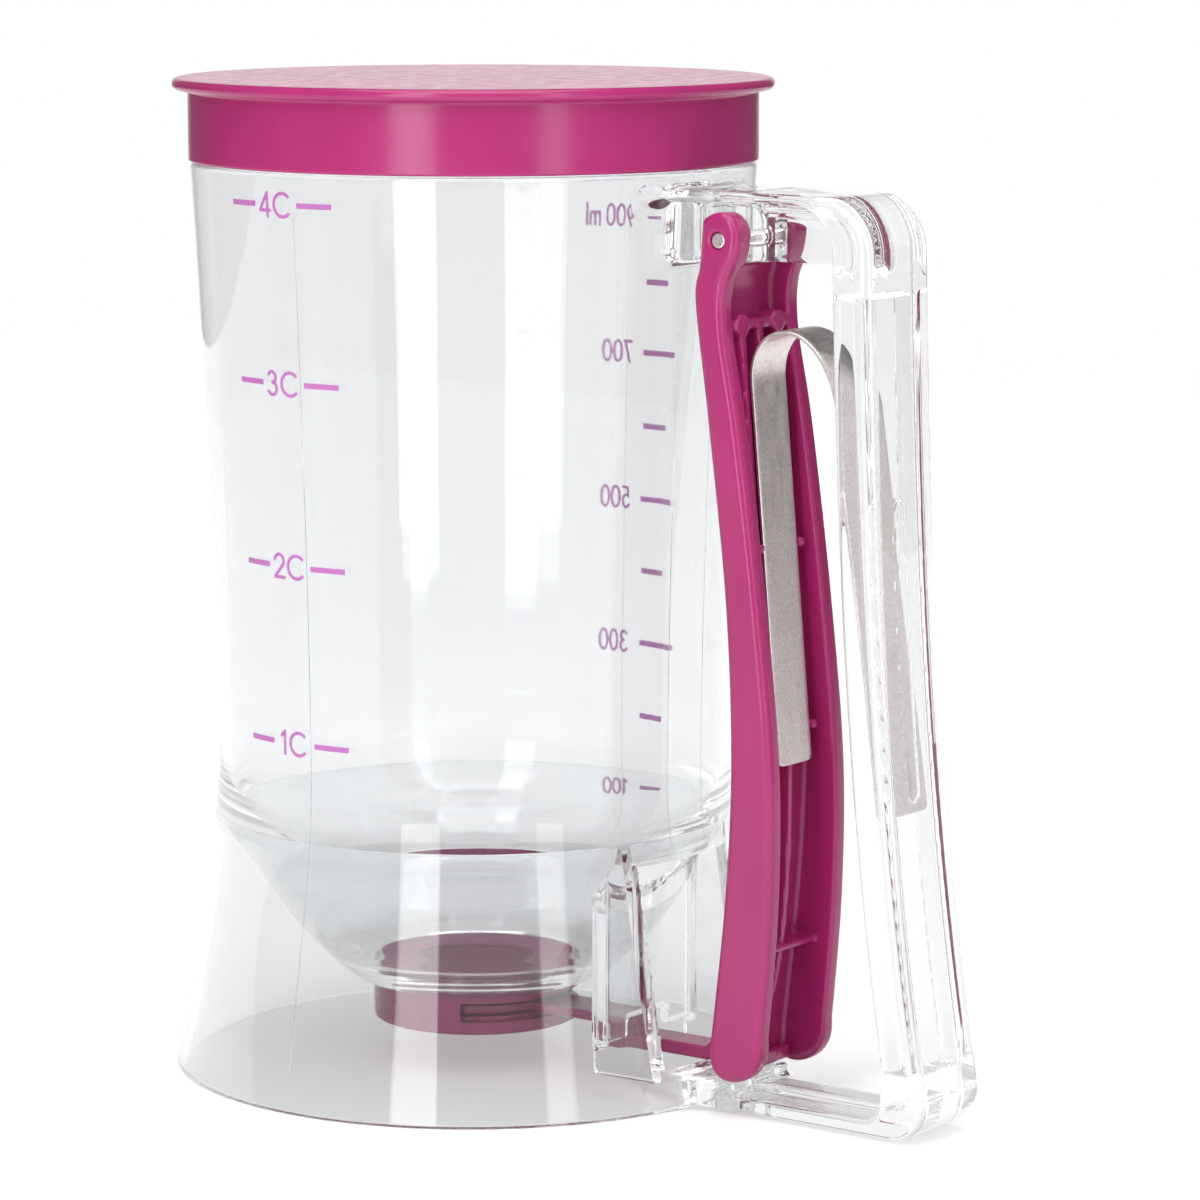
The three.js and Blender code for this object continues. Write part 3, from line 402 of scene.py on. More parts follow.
def outer_corner():
    """The loop's outer line, round the top corner, down the grip and round the foot."""
    return [
        *arc(GRIP_TOP_X - TOP_ROUND, ARM_TOP - TOP_ROUND, TOP_ROUND, 90, 0),
        *grip_line[1:-1],
        *arc(GRIP_FOOT_X - FOOT_ROUND, LIFT + FOOT_ROUND, FOOT_ROUND, 0, -90),
    ]


def flare_outline(radius):
    """A root flare in plan, swept wide where it meets the round wall."""
    start = radius - WALL
    tip = math.sqrt(radius**2 - FLARE_HALF**2) - WALL
    end = radius + FLARE_LENGTH
    return [
        *bezier([(end, -HANDLE_HALF), (start + WALL, -HANDLE_HALF), (tip, -FLARE_HALF)], 12),
        *bezier([(tip, FLARE_HALF), (start + WALL, HANDLE_HALF), (end, HANDLE_HALF)], 12),
    ]


band = polygon(band_outline())
hull = polygon([(NECK_R - WALL - 2, ARM_TOP), *outer_corner(), (BASE_R - WALL - 2, LIFT)])
top_flare = polygon(flare_outline(NECK_R))
low_flare = polygon(flare_outline(BASE_R))
channel_heights = np.linspace(CHANNEL_FOOT, CHANNEL_TOP, 24)
channel = polygon(
    [(across(grip_line, z) - GRIP_BACK, z) for z in channel_heights]
    + [(across(grip_line, z) - GRIP_DEPTH - 4, z) for z in channel_heights[::-1]]
)
bowl_room = polygon(
    [(0, 0), *[(r - 0.9, z + 0.7) for r, z in bowl_outer[::-1]], (ROOM_R, ROOM_TOP), (ROOM_R, 0)]
)


def loop_field(x, y, z):
    """The bare loop, with the web under its top arm and the rib on its lower one."""
    side = np.abs(y) - HANDLE_HALF
    body = common(band(x, z), side, HANDLE_BEVEL)
    web_ends, web_heights = (PIN_X - 6, GRIP_TOP_X - GRIP_DEPTH + 1), (WEB_BOTTOM, ARM_BOTTOM + 1)
    body = join(body, block(x, y, z, web_ends, WEB_HALF, web_heights, 0.4), WEB_FILLET)
    rib = block(x, y, z, (BASE_R - 2, GRIP_FOOT_X - GRIP_DEPTH), RIB_HALF, (LOWER_TOP - 1, RIB_TOP), 0.5)
    body = join(body, rib, 0.9)
    return np.maximum(body, common(hull(x, z), side, HANDLE_BEVEL))


def rooted(body, x, y, z):
    """The loop with its knuckle, its root block and the flares at both ends."""
    knuckle = block(x, y, z, (NECK_R - 2, KNUCKLE_END), KNUCKLE_HALF, (WEB_BOTTOM, ARM_TOP), 0.7)
    root = block(x, y, z, (NECK_R - 2, ROOT_END), HANDLE_HALF, (WEB_BOTTOM, ARM_TOP), 0.7)
    upper = common(top_flare(x, y), span(z, ARM_BOTTOM, ARM_TOP), 0.8)
    lower = common(low_flare(x, y), span(z, LIFT, FLARE_RISE), 0.9)
    for part, r in ((knuckle, 0.9), (root, 0.9), (upper, 1.2), (lower, 1.6)):
        body = join(body, part, r)
    return common(common(body, z - ARM_TOP, 0.9), LIFT - z, 0.9)


def hollowed(body, x, y, z):
    """The handle with the spring's channel and pocket and the pin's bore."""
    body = cut(body, common(channel(x, z), np.abs(y) - CHANNEL_HALF, 1.0), 0.8)
    pocket_z = np.maximum(span(z, POCKET_FOOT, POCKET_TOP), 0)
    pocket_x = x - across(grip_line, z) + GRIP_BACK - POCKET_DEPTH
    body = cut(body, common(np.hypot(y, pocket_z) - POCKET_HALF, pocket_x, 0.3), 0.4)
    return cut(body, np.hypot(x - PIN_X, z - PIN_Z) - PIN_R - PIN_PLAY, BORE_EDGE)


def handle_field(x, y, z):
    """The handle, swept into the jar's wall and the skirt, and the walls of the skirt's recess."""
    body = hollowed(rooted(loop_field(x, y, z), x, y, z), x, y, z)
    outside = gap_outside(x, y, z)
    near = join(body, outside + SINK, ROOT_BLEND)
    handle = np.maximum(np.maximum(near, -outside - ROOT_DEPTH), np.maximum(body - 4, LIFT - z))
    window = block(x, y, z, (RECESS_BACK, BASE_R + 4), RECESS_HALF, (SILL, LINTEL), 0.4)
    return np.minimum(cut(handle, window, 0.3), recess_field(x, y, z, outside))


def recess_field(x, y, z, outside):
    """The recess in the skirt: a cheek at each side and a back wall, which end at the bowl."""
    cheeks = common(span(np.abs(y), RECESS_HALF, RECESS_HALF + RECESS_WALL), CHEEK_Z - z, 0.5)
    cheeks = common(cheeks, RECESS_BACK - x, 0.4)
    wall = common(span(x, RECESS_BACK, RECESS_BACK + RECESS_WALL), STRAP_PASS - z, 0.5)
    wall = common(wall, np.abs(y) - RECESS_HALF - RECESS_WALL, 0.5)
    wall = cut(wall, common(np.abs(y) - NOTCH_HALF, z - STRAP_ROOM, 1.0), 0.4)
    walls = join(cheeks, wall, 1.0)
    inside = np.maximum(outside + SINK, bowl_room(np.hypot(x, y), z))
    return np.maximum(walls, inside)


def box_mesh(xs, ys, zs):
    points = [(x, y, z) for x in xs for y in ys for z in zs]
    return points, [(0, 1, 3, 2), (4, 6, 7, 5), (0, 4, 5, 1), (2, 3, 7, 6), (0, 2, 6, 4), (1, 5, 7, 3)]


def swept(rings, count):
    """The faces of a closed bar made of rings of count points."""
    faces = []
    for i in range(rings - 1):
        for k in range(count):
            a, b = i * count + k, i * count + (k + 1) % count
            faces.append((a, b, b + count, a + count))
    last = (rings - 1) * count
    return faces + [tuple(range(count))[::-1], tuple(last + k for k in range(count))]


def mould_line(degrees, foot, top):
    """A hair-thin ridge down the wall where parts of the mould meet."""
    cos, sin = math.cos(math.radians(degrees)), math.sin(math.radians(degrees))
    crest = LINE_HALF * 0.4
    section = [(-LINE_DEPTH, -LINE_HALF), (LINE_PROUD, -crest), (LINE_PROUD, crest)]
    section.append((-LINE_DEPTH, LINE_HALF))
    line = [(r, z) for r, z in outer_line if foot < z < top]
    points = []
    for r, z in line:
        for out, side in section:
            points.append((cos * (r + out) - sin * side, sin * (r + out) + cos * side, z))
    return points, swept(len(line), len(section))


def make_clear_body(material):
    body = turned("clear_body", jar_profile())
    for place in MOULD_LINES:
        combine(body, piece("mould_line", *mould_line(*place)), "UNION")
    half = RECESS_HALF + WINDOW_PLAY
    window = box_mesh((RECESS_BACK + 1, BASE_R + 4), (-half, half), (SILL, LINTEL))
    combine(body, piece("window_cutter", *window), "DIFFERENCE")
    handle = piece("handle_part", *fill_mesh(handle_field, HANDLE_BOX, HANDLE_STEP))
    combine(body, handle, "UNION", HANDLE_CREASE)
    settle(body, "dispenser", "clear_plastic", material, "jar", "base_skirt", "handle_loop")


# Trigger.
def lever_points(top, length, reach, shares):
    """Points beside the line under the pin, given as shares of a length down and a reach out."""
    return [(PIN_X + reach * out, top - length * down) for down, out in shares]


ear_front = lever_points(PIN_Z, EAR_SPAN, EAR_HALF, [(-0.177, -0.93), (0.266, -1.08), (0.647, -1.32)])
ear_rear_shares = [(1, 0.345), (0.487, 0.33), (0.177, 0.9), (-0.044, 1.08)]
ear_rear = lever_points(PIN_Z, EAR_SPAN, EAR_HALF, ear_rear_shares)
front_shares = [(0.112, -0.2), (0.35, 0.125), (0.565, 0.235), (0.751, 0.135), (0.951, -0.12)]
rear_shares = [(0.935, 0.82), (0.759, 0.985), (0.572, 0.99), (0.35, 0.735), (0.126, 0.38)]
front_points = ear_front + lever_points(PIN_Z - EAR_SPAN, LEVER_LENGTH, BOW, front_shares)
rear_points = lever_points(PIN_Z - EAR_SPAN, LEVER_LENGTH, BOW, rear_shares) + ear_rear
front_line = catmull(front_points)
rear_line = catmull(rear_points)


def floor_x(z):
    """Where the floor of the trigger's channel lies."""
    return across(front_line, z) + WEB


def lever_outline():
    """The trigger from the side: front wall, toe, heel, rear edge and the ears' crown."""
    (top_x, top_z), (front_x, _) = front_points[0], front_points[-1]
    (rear_x, _), (last_x, last_z) = rear_points[0], rear_points[-1]
    middle, crown, pull = (last_x + top_x) / 2, PIN_Z + EAR_RISE, TOE_ROUND / 2
    rise = [(last_x, last_z), (last_x, last_z + EAR_REAR_PULL), (middle + pull, crown), (middle, crown)]
    fall = [(middle, crown), (middle - pull, crown), (top_x, crown - EAR_FRONT_PULL), (top_x, top_z)]
    return [
        *front_line,
        *arc(front_x + TOE_ROUND, TOE_Z + TOE_ROUND, TOE_ROUND, 180, 270),
        *arc(rear_x - HEEL_ROUND, TOE_Z + HEEL_ROUND, HEEL_ROUND, -90, 0),
        *rear_line,
        *bezier(rise, 10)[1:],
        *bezier(fall, 10)[1:-1],
    ]


def spring_line():
    """The spring's middle line: a front leg, a bend and a rear leg."""
    top = np.array(SPRING_TOP)
    along = np.array((math.sin(LEAN), -math.cos(LEAN)))
    end = top + along * SPRING_RUN
    rear_top = np.array((top[0] + SPREAD, top[1] - REAR_DROP))
    rear_end = np.array((across(grip_line, REAR_FOOT) - GRIP_BACK - SEAT, REAR_FOOT))
    rear_along = (rear_end - rear_top) / np.linalg.norm(rear_end - rear_top)
    bent = bezier([top, top - along * FRONT_RISE, rear_top - rear_along * REAR_RISE, rear_top], 40)
    return end, top, bent, rear_top, rear_end


spring_end, spring_top, spring_bend, spring_rear, spring_foot = spring_line()
lever = polygon(lever_outline())
hollow_top = WEB_BOTTOM - 0.5
floor_line = [(x + WEB, z) for x, z in front_line if z < hollow_top]
hollow_foot = [(floor_line[-1][0], 0), (HOLLOW_REACH, 0)]
hollow = polygon([*floor_line, *hollow_foot, (HOLLOW_REACH, hollow_top), (floor_line[0][0], hollow_top)])


def seat_x(z):
    """Where the ribs end, just under the spring's front leg."""
    return spring_end[0] - SEAT - (z - spring_end[1]) * math.tan(LEAN)


def strip_outline(rear):
    """A rib from the side, from the channel's floor to a rear edge."""
    heights = np.linspace(rear[-1][1], rear[0][1], 24)
    return [(floor_x(z) - WEB / 2, z) for z in heights] + list(rear)


rib_top = BAR_Z + BAR_THICK / 2
long_rib = polygon(strip_outline([(seat_x(z), z) for z in (rib_top, spring_end[1])]))
tail = bend((floor_x(CENTRE_FOOT), CENTRE_FOOT), (seat_x(spring_end[1]), spring_end[1]), 1, 0.15)
centre_rib = polygon(strip_outline([(seat_x(rib_top), rib_top), *tail[::-1]]))


def lever_field(x, y, z):
    side = np.abs(y)
    body = common(lever(x, z), side - LEVER_HALF, LEVER_ROUND)
    body = cut(body, common(hollow(x, z), side - (LEVER_HALF - FLANGE), 1.1), 0.7)
    gap = common(side - (LEVER_HALF - EAR), EAR_FOOT - z, 0.6)
    body = cut(body, gap, 0.7)
    for place, rib in ((0, centre_rib), (RIB_SPREAD, long_rib)):
        shape = common(rib(x, z), np.abs(side - place) - RIB_THIN, 0.3)
        body = join(body, shape, 0.7)
    inside = LEVER_HALF - FLANGE + 1
    cross_z = spring_end[1] - CROSS_DROP
    for low, thick, proud in ((BAR_Z, BAR_THICK, BAR_PROUD), (cross_z, CROSS_THICK, CROSS_PROUD)):
        floor = floor_x(low)
        bar = common(span(x, floor - 1, floor + proud), span(z, low, low + thick), 0.3)
        body = join(body, common(bar, side - inside, 0.3), 0.6)
    pad = np.hypot(side - RIB_SPREAD, z - BAR_Z - BAR_THICK / 2) - PAD_R
    pad = common(pad, span(x, floor_x(BAR_Z) - 1, floor_x(BAR_Z) + BAR_PROUD + PAD_PROUD), 0.3)
    body = join(body, pad, 0.4)
    lug_side = SPRING_HALF + LUG_GAP
    for share in LUG_SHARES:
        point = spring_end + (spring_top - spring_end) * share
        lug = common(span(z, point[1], point[1] + LUG), span(side, lug_side, lug_side + LUG), 0.4)
        body = join(body, common(lug, span(x, floor_x(point[1]) - 1, point[0] + SPRING_T), 0.4), 0.4)
    body = cut(body, np.hypot(x - PIN_X, z - PIN_Z) - PIN_R - PIN_PLAY, BORE_EDGE)
    mouth = common(side - MOUTH_HALF, z - MOUTH_TOP, 0.5)
    return cut(body, np.maximum(mouth, x - floor_x(TOE_Z + TOE_ROUND) - 0.1), 0.4)


def make_trigger(material):
    lever_piece = piece("trigger_lever", *fill_mesh(lever_field, LEVER_BOX, LEVER_STEP), LEVER_CREASE)
    settle(lever_piece, "trigger", "pink_plastic", material, "trigger")


# Spring and pin.
def make_spring(material):
    """A strip swept along its line, with rounded corners at its ends."""
    front = [spring_end, *bezier([spring_end, spring_top], 40)[1:-1], *spring_bend]
    line = resample([*front, *bezier([spring_rear, spring_foot], 40)[1:]], STRIP_STEPS)
    ways = np.gradient(line, axis=0)
    ways /= np.linalg.norm(ways, axis=1)[:, None]
    run = np.concatenate([[0], np.cumsum(np.linalg.norm(np.diff(line, axis=0), axis=1))])
    half_t = SPRING_T / 2
    corners = ((-half_t, -1), (half_t, -1), (half_t, 1), (-half_t, 1))
    section = rounded([(t, w, STRIP_EDGE) for t, w in corners], 3)
    points = []
    for (x, z), (wx, wz), s in zip(line, ways, run):
        from_end = min(s, run[-1] - s, STRIP_CORNER)
        half = SPRING_HALF - STRIP_CORNER * (1 - math.sqrt(max(0, 1 - (1 - from_end / STRIP_CORNER) ** 2)))
        points += [(x - wz * t, w * half, z + wx * t) for t, w in section]
    strip = piece("spring_strip", points, swept(len(line), len(section)))
    strip.data.materials.append(material)
    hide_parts("leaf_spring")
    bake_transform(strip)


def resample(line, count):
    """Even points along a line, with more of them near its two ends."""
    line = np.array(line)
    run = np.concatenate([[0], np.cumsum(np.linalg.norm(np.diff(line, axis=0), axis=1))])
    even = np.linspace(0, run[-1], count)
    ends = np.linspace(0, STRIP_CORNER, 9)
    places = np.unique(np.concatenate([even, ends, run[-1] - ends]))
    return np.stack([np.interp(places, run, line[:, k]) for k in (0, 1)], axis=1)


def make_pin(material):
    """The pin: a turned rod with domed ends."""
    profile = rounded([(0, -PIN_HALF), (PIN_R, -PIN_HALF, 0.45), (PIN_R, PIN_HALF, 0.45), (0, PIN_HALF)], 6)
    points, faces = revolve(profile, 64)
    points = points[:, [0, 2, 1]] + np.array((PIN_X, 0, PIN_Z))
    settle(piece("hinge_pin", points, faces), "dispenser", "steel", material, "pivot_pin")


# Lid.
def make_lid(material):
    edge = LID_FLANGE / 2
    profile = [
        (0, TOP_Z - LID_TOP_T),
        (0, TOP_Z),
        (LID_R - 6, TOP_Z),
        *arc(LID_R - edge, TOP_Z - edge, edge, 90, -90, 10),
        (LID_SKIRT_R, TOP_Z - LID_FLANGE, 0.7),
        (LID_SKIRT_R, LID_Z, 0.5),
        (LID_SKIRT_R - LID_WALL, LID_Z, 0.4),
        (LID_SKIRT_R - LID_WALL, TOP_Z - LID_TOP_T, 0.8),
    ]
    settle(turned("lid_cap", profile), "lid", "pink_plastic", material, "lid")


# Valve.
def make_housing(material):
    profile = [
        (OUTLET_R, FLOOR_Z, 0.3),
        (OUTLET_R, GATE_FLOOR, 0.3),
        (HOUSING_BORE, GATE_FLOOR),
        (HOUSING_BORE, DECK_Z),
        (OUTLET_R, DECK_Z, 0.3),
        (OUTLET_R, DECK_SEAT, 0.4),
        (SEAT_R, DECK_SEAT, 0.4),
        (SEAT_R, DECK_TOP, 0.5),
        (SLEEVE_IN, DECK_TOP, 0.5),
        (SLEEVE_IN, DECK_SEAT, 0.4),
        (SLEEVE_R, DECK_SEAT, 0.4),
        (SLEEVE_R, RING_TOP),
        (HOUSING_R, RING_TOP, 0.35),
        (HOUSING_R, HOUSING_Z, 0.7),
        (HOUSING_BORE, HOUSING_Z, 0.4),
        (HOUSING_BORE, FLOOR_Z),
    ]
    housing = turned("valve_ring", profile, 192)
    combine(housing, piece("slot_cutter", *fill_mesh(slot_field, SLOT_BOX, SLOT_STEP)), "DIFFERENCE")
    settle(housing, "dispenser", "pink_plastic", material, "valve_housing")


def slot_field(x, y, z):
    """The side slot that the strap runs through: a part of a ring."""
    ring = span(np.hypot(x, y), HOUSING_BORE - 0.05, HOUSING_R + 2)
    sides = common(np.abs(y) - PLATE_R - 0.3, span(z, SLOT_Z, SLOT_TOP), 0.5)
    return np.maximum(np.maximum(ring, -x), sides)


def make_seal(material):
    profile = [
        (OUTLET_R, SEAL_Z, 0.3),
        (OUTLET_R, SEAL_Z + SEAL_T - SEAL_DISH, 0.4),
        (SLEEVE_R - 1.2, SEAL_Z + SEAL_T - 0.04),
        (SLEEVE_R, SEAL_Z + SEAL_T, 0.3),
        (SLEEVE_R, SEAL_Z, 0.3),
    ]
    settle(turned("seal_ring", profile, 160), "dispenser", "soft_seal", material, "valve_seal")


def gate_outline(end):
    """The gate's disc in plan, with one side cut off and the strap's root on the other."""
    cut_angle = math.degrees(math.acos(-PLATE_CUT / PLATE_R))
    strap_angle = math.degrees(math.asin(STRAP_ROOT / PLATE_R))
    return [
        (end, -STRAP_ROOT),
        (end, STRAP_ROOT),
        *arc(0, 0, PLATE_R, strap_angle, cut_angle, 40),
        *arc(0, 0, PLATE_R, -cut_angle, -strap_angle, 40),
    ]


web_face = floor_x(TOE_Z + TOE_ROUND)
plate = polygon(gate_outline(SHOULDER_X[1]))
head_face, boss_end = web_face + HEAD_GAP, web_face - WEB - HEAD_GAP
boss_profile = [
    (boss_end - 8.5, STRAP_TOP - 1),
    (boss_end, STRAP_TOP - 1),
    (boss_end, BOSS_TOP, 0.5),
    (boss_end - 4, BOSS_TOP, 1.0),
    (boss_end - 6.6, STRAP_TOP, 1.5),
]
boss = polygon(rounded(boss_profile))


def gate_field(x, y, z):
    side = np.abs(y)
    body = common(plate(x, y), span(z, PLATE_Z, PLATE_TOP), 0.35)
    body = join(body, block(x, y, z, SHOULDER_X, STRAP_ROOT, (STRAP_Z, PLATE_TOP), 0.4), 0.5)
    strap = block(x, y, z, (SHOULDER_X[1] - 1.5, head_face + HEAD_T), STRAP_HALF, (STRAP_Z, STRAP_TOP), 0.4)
    head = block(x, y, z, (head_face, head_face + HEAD_T), HEAD_HALF, (STRAP_Z, STRAP_TOP), 0.4)
    body = join(body, join(strap, common(boss(x, z), side - STRAP_HALF, 0.4), 0.3), 0.6)
    return join(body, head, 0.4)


def make_gate(material):
    plate_piece = piece("gate_plate", *fill_mesh(gate_field, GATE_BOX, GATE_STEP))
    settle(plate_piece, "gate", "pink_plastic", material, "gate_slider")


# Printed scales: strokes drawn on the flat, then wrapped round the wall.
GLYPHS = {
    "0": [
        bezier([(0.3, 0), (-0.1, 0), (-0.1, 1), (0.3, 1)], 10)
        + bezier([(0.3, 1), (0.7, 1), (0.7, 0), (0.3, 0)], 10)
    ],
    "1": [[(0.08, 0.8), (0.28, 1), (0.28, 0)]],
    "2": [arc(0.3, 0.7, 0.29, 165, -25, 10) + [(0.02, 0), (0.62, 0)]],
    "3": [arc(0.27, 0.75, 0.24, 150, -80, 9), arc(0.27, 0.27, 0.28, 85, -150, 9)],
    "4": [[(0.46, 0), (0.46, 1), (0, 0.25), (0.62, 0.25)]],
    "5": [[(0.55, 1), (0.17, 1), (0.08, 0.56)] + arc(0.28, 0.32, 0.31, 130, -145, 12)],
    "7": [[(0.02, 1), (0.58, 1), (0.2, 0)]],
    "9": [arc(0.3, 0.68, 0.3, 0, 360, 16), [(0.58, 0.6), (0.3, 0)]],
    "C": [arc(0.5, 0.5, 0.5, 48, 312, 16)],
    "m": [
        [(0, 0), (0, 0.62)],
        [(0, 0.4)] + arc(0.2, 0.45, 0.17, 150, 0, 6) + [(0.37, 0)],
        [(0.37, 0.4)] + arc(0.57, 0.45, 0.17, 150, 0, 6) + [(0.74, 0)],
    ],
    "l": [[(0, 0), (0, 1)]],
    " ": [],
}
ADVANCE = {"0": 0.82, "1": 0.62, "m": 1.0, "l": 0.3, "C": 1.1, " ": 0.35}
DIGIT_ADVANCE = 0.85
PRINT_DEPTH, PRINT_STEP, INK_LIFT, INK_FLAT = 0.6, 0.14, 0.035, 0.04

# Marks: text and height, places round the wall, and half the width of strokes.
CUP_MARKS = (("4C", 164.9), ("3C", 132.7), ("2C", 99.4), ("1C", 66.8))
CUP_TICKS, CUP_TICK_HALF = ((-16.2, -9.4), (0.9, 8.4)), 0.5
CUP_LEFT, CUP_LEFT_OF_1, CUP_SIZE, CUP_HALF = -8.1, -7.6, 4.2, 0.31
VOLUME_LABELS = ("900 ml", "", "700", "", "500", "", "300", "", "100")
VOLUME_HEIGHTS = (158.2, 145.4, 131.6, 117.2, 102.8, 88.6, 74.2, 59.6, 43.4)
LONG_MARKS, LONG_TICK, SHORT_TICK = ("700", "500", "300"), (-14.5, -4.4), (-11.3, -4.8)
VOLUME_TICK_HALF = 0.55
VOLUME_LEFT, VOLUME_SIZE, VOLUME_NARROW, VOLUME_HALF = -1.2, 4.0, 0.76, 0.28


def strokes_of(text, left, base, height, narrow=1.0):
    """The strokes of a text, with its lower left corner and its letters' height in millimetres."""
    lines, pen = [], left
    for letter in text:
        for stroke in GLYPHS[letter]:
            lines.append([(pen + x * height * narrow, base + y * height) for x, y in stroke])
        pen += ADVANCE.get(letter, DIGIT_ADVANCE) * height * narrow
    return lines


def print_field(lines, half_width, flat_ends):
    """A field of strokes on the flat: round the wall, through it and up it."""
    pairs = [(a, b) for line in lines for a, b in zip(line, line[1:]) if math.dist(a, b) > 0.01]

    def field(u, v, w):
        best = np.inf
        for (x0, y0), (x1, y1) in pairs:
            ex, ey = x1 - x0, y1 - y0
            long = ex * ex + ey * ey
            t = np.clip(((u - x0) * ex + (w - y0) * ey) / long, 0, 1)
            d = np.hypot(u - x0 - ex * t, w - y0 - ey * t) - half_width
            if flat_ends:
                d = np.maximum(span(u, x0, x1), np.abs(w - y0) - half_width)
            best = np.minimum(best, d)
        return common(best, np.abs(v) - PRINT_DEPTH, 0.15)

    return field


def make_print(name, material, turn, marks):
    """Marks as (strokes, half width, flat ends) in millimetres round and up the wall."""
    all_points, all_faces = [], []
    for lines, half_width, flat_ends in marks:
        flat = np.array([p for line in lines for p in line])
        low, high = flat.min(axis=0) - 1, flat.max(axis=0) + 1
        box = ((low[0], -PRINT_DEPTH - 0.4, low[1]), (high[0], PRINT_DEPTH + 0.4, high[1]))
        points, faces = fill_mesh(print_field(lines, half_width, flat_ends), box, PRINT_STEP)
        start = sum(len(p) for p in all_points)
        all_faces += [tuple(start + k for k in f) for f in faces]
        all_points.append(points)
    u, v, w = np.concatenate(all_points).T
    radius = across(outer_line, w)
    turn = turn + u / radius
    radius = radius + INK_LIFT + v * INK_FLAT
    wrapped = np.stack([radius * np.cos(turn), radius * np.sin(turn), w], axis=1)
    settle(piece(name, wrapped, all_faces), "dispenser", None, material)


def tick(ends, height, half_width):
    left, right = ends
    return ([[(left, height), (right, height)]], half_width, True)


def make_prints(material):
    cups, volumes = [], []
    for label, height in CUP_MARKS:
        left = CUP_LEFT_OF_1 if label == "1C" else CUP_LEFT
        cups.append(tick(CUP_TICKS[0], height, CUP_TICK_HALF))
        cups.append((strokes_of(label, left, height - CUP_SIZE / 2, CUP_SIZE), CUP_HALF, False))
        cups.append(tick(CUP_TICKS[1], height, CUP_TICK_HALF))
    for label, height in zip(VOLUME_LABELS, VOLUME_HEIGHTS):
        ends = LONG_TICK if label in LONG_MARKS else SHORT_TICK
        volumes.append(tick(ends, height, VOLUME_TICK_HALF))
        if label:
            strokes = strokes_of(label, VOLUME_LEFT, height - VOLUME_SIZE / 2, VOLUME_SIZE, VOLUME_NARROW)
            volumes.append((strokes, VOLUME_HALF, False))
    make_print("cup_scale", material, -math.pi / 2, cups)
    make_print("volume_scale", material, math.pi / 2, volumes)


# Materials. Each colour runs from a darker to a lighter tone, both sRGB from 0 to 255.
PINK, SOFT_PINK = ((180, 44, 114), (190, 50, 122)), ((184, 62, 126), (196, 78, 140))
CLEAR, WHITE = ((241, 242, 243), (245, 246, 246)), ((243, 243, 244), (246, 246, 247))
# The steel tones are the metal's grey with a warm pink cast added, a painted reflection of the pink parts.
STEEL_WITH_PAINTED_PINK_REFLECTION, INK = ((210, 201, 199), (238, 230, 228)), ((234, 146, 228), (242, 160, 236))

# The share of straight light that clear plastic lets through.
LET_THROUGH = (0.7, 0.705, 0.71, 1)


def plug(tree, socket, value):
    """A socket gets a plain value, or a link from another socket."""
    if isinstance(value, bpy.types.NodeSocket):
        tree.links.new(value, socket)
    else:
        socket.default_value = value


class Shader:
    """A material's node tree, with short calls to add and link nodes."""

    def __init__(self, name):
        self.material = bpy.data.materials.new(name)
        self.material.use_nodes = True
        self.tree = self.material.node_tree
        self.tree.nodes.clear()
        self.place = self.add("TexCoord").outputs["Object"]

    def add(self, kind, **values):
        node = self.tree.nodes.new("ShaderNode" + kind)
        for key, value in values.items():
            title = key.replace("_", " ")
            if title in node.inputs:
                plug(self.tree, node.inputs[title], value)
            else:
                setattr(node, key, value)
        return node

    def noise(self, size, stretch=(1, 1, 1), detail=3.0):
        """Noise with features of about that many millimetres."""
        scaled = self.add("Mapping", Vector=self.place, Scale=tuple(s / (size * MM) for s in stretch))
        return self.add("TexNoise", Vector=scaled.outputs[0], Scale=1.0, Detail=detail).outputs["Fac"]

    def maths(self, operation, first, second):
        node = self.add("Math", operation=operation)
        plug(self.tree, node.inputs[0], first)
        plug(self.tree, node.inputs[1], second)
        return node.outputs[0]

    def between(self, value, low, high, start=0.3, end=0.7):
        node = self.add("MapRange", Value=value)
        for title, amount in (("From Min", start), ("From Max", end), ("To Min", low), ("To Max", high)):
            node.inputs[title].default_value = amount
        return node.outputs["Result"]

    def tint(self, value, low, high):
        """A colour between two, both given as sRGB from 0 to 255."""
        node = self.add("Mix", data_type="RGBA")
        self.tree.links.new(value, node.inputs["Factor"])
        node.inputs[6].default_value = linear(low)
        node.inputs[7].default_value = linear(high)
        return node.outputs[2]

    def bump(self, value, height, strength=1.0, normal=None):
        node = self.add("Bump", Height=value, Strength=strength, Distance=height * MM)
        if normal:
            self.tree.links.new(normal, node.inputs["Normal"])
        return node.outputs["Normal"]

    def finish(self, surface):
        self.add("OutputMaterial", Surface=surface)
        return self.material


def linear(colour):
    """A solid colour in linear light from sRGB from 0 to 255."""
    shares = [c / 255 for c in colour]
    return tuple(s / 12.92 if s < 0.04045 else ((s + 0.055) / 1.055) ** 2.4 for s in shares) + (1.0,)


def clear_material():
    """Clear plastic; light on its way to a surface goes straight through it, a little weakened."""
    shader = Shader("clear_plastic")
    roughness = shader.between(shader.noise(9, (1, 1, 0.3)), 0.015, 0.05)
    flow = shader.bump(shader.noise(26, (1, 1, 0.25), 2.0), 0.12)
    normal = shader.bump(shader.noise(1.1), 0.0015, 1.0, flow)
    glass = shader.add(
        "BsdfPrincipled",
        Base_Color=shader.tint(shader.noise(40), *CLEAR),
        Roughness=roughness,
        IOR=1.53,
        Transmission_Weight=1.0,
        Normal=normal,
    )
    through = shader.add("BsdfTransparent", Color=LET_THROUGH)
    rays = shader.add("LightPath").outputs
    straight = shader.maths("MAXIMUM", rays["Is Shadow Ray"], rays["Is Diffuse Ray"])
    mix = shader.add("MixShader", Fac=straight)
    shader.tree.links.new(glass.outputs[0], mix.inputs[1])
    shader.tree.links.new(through.outputs[0], mix.inputs[2])
    return shader.finish(mix.outputs[0])


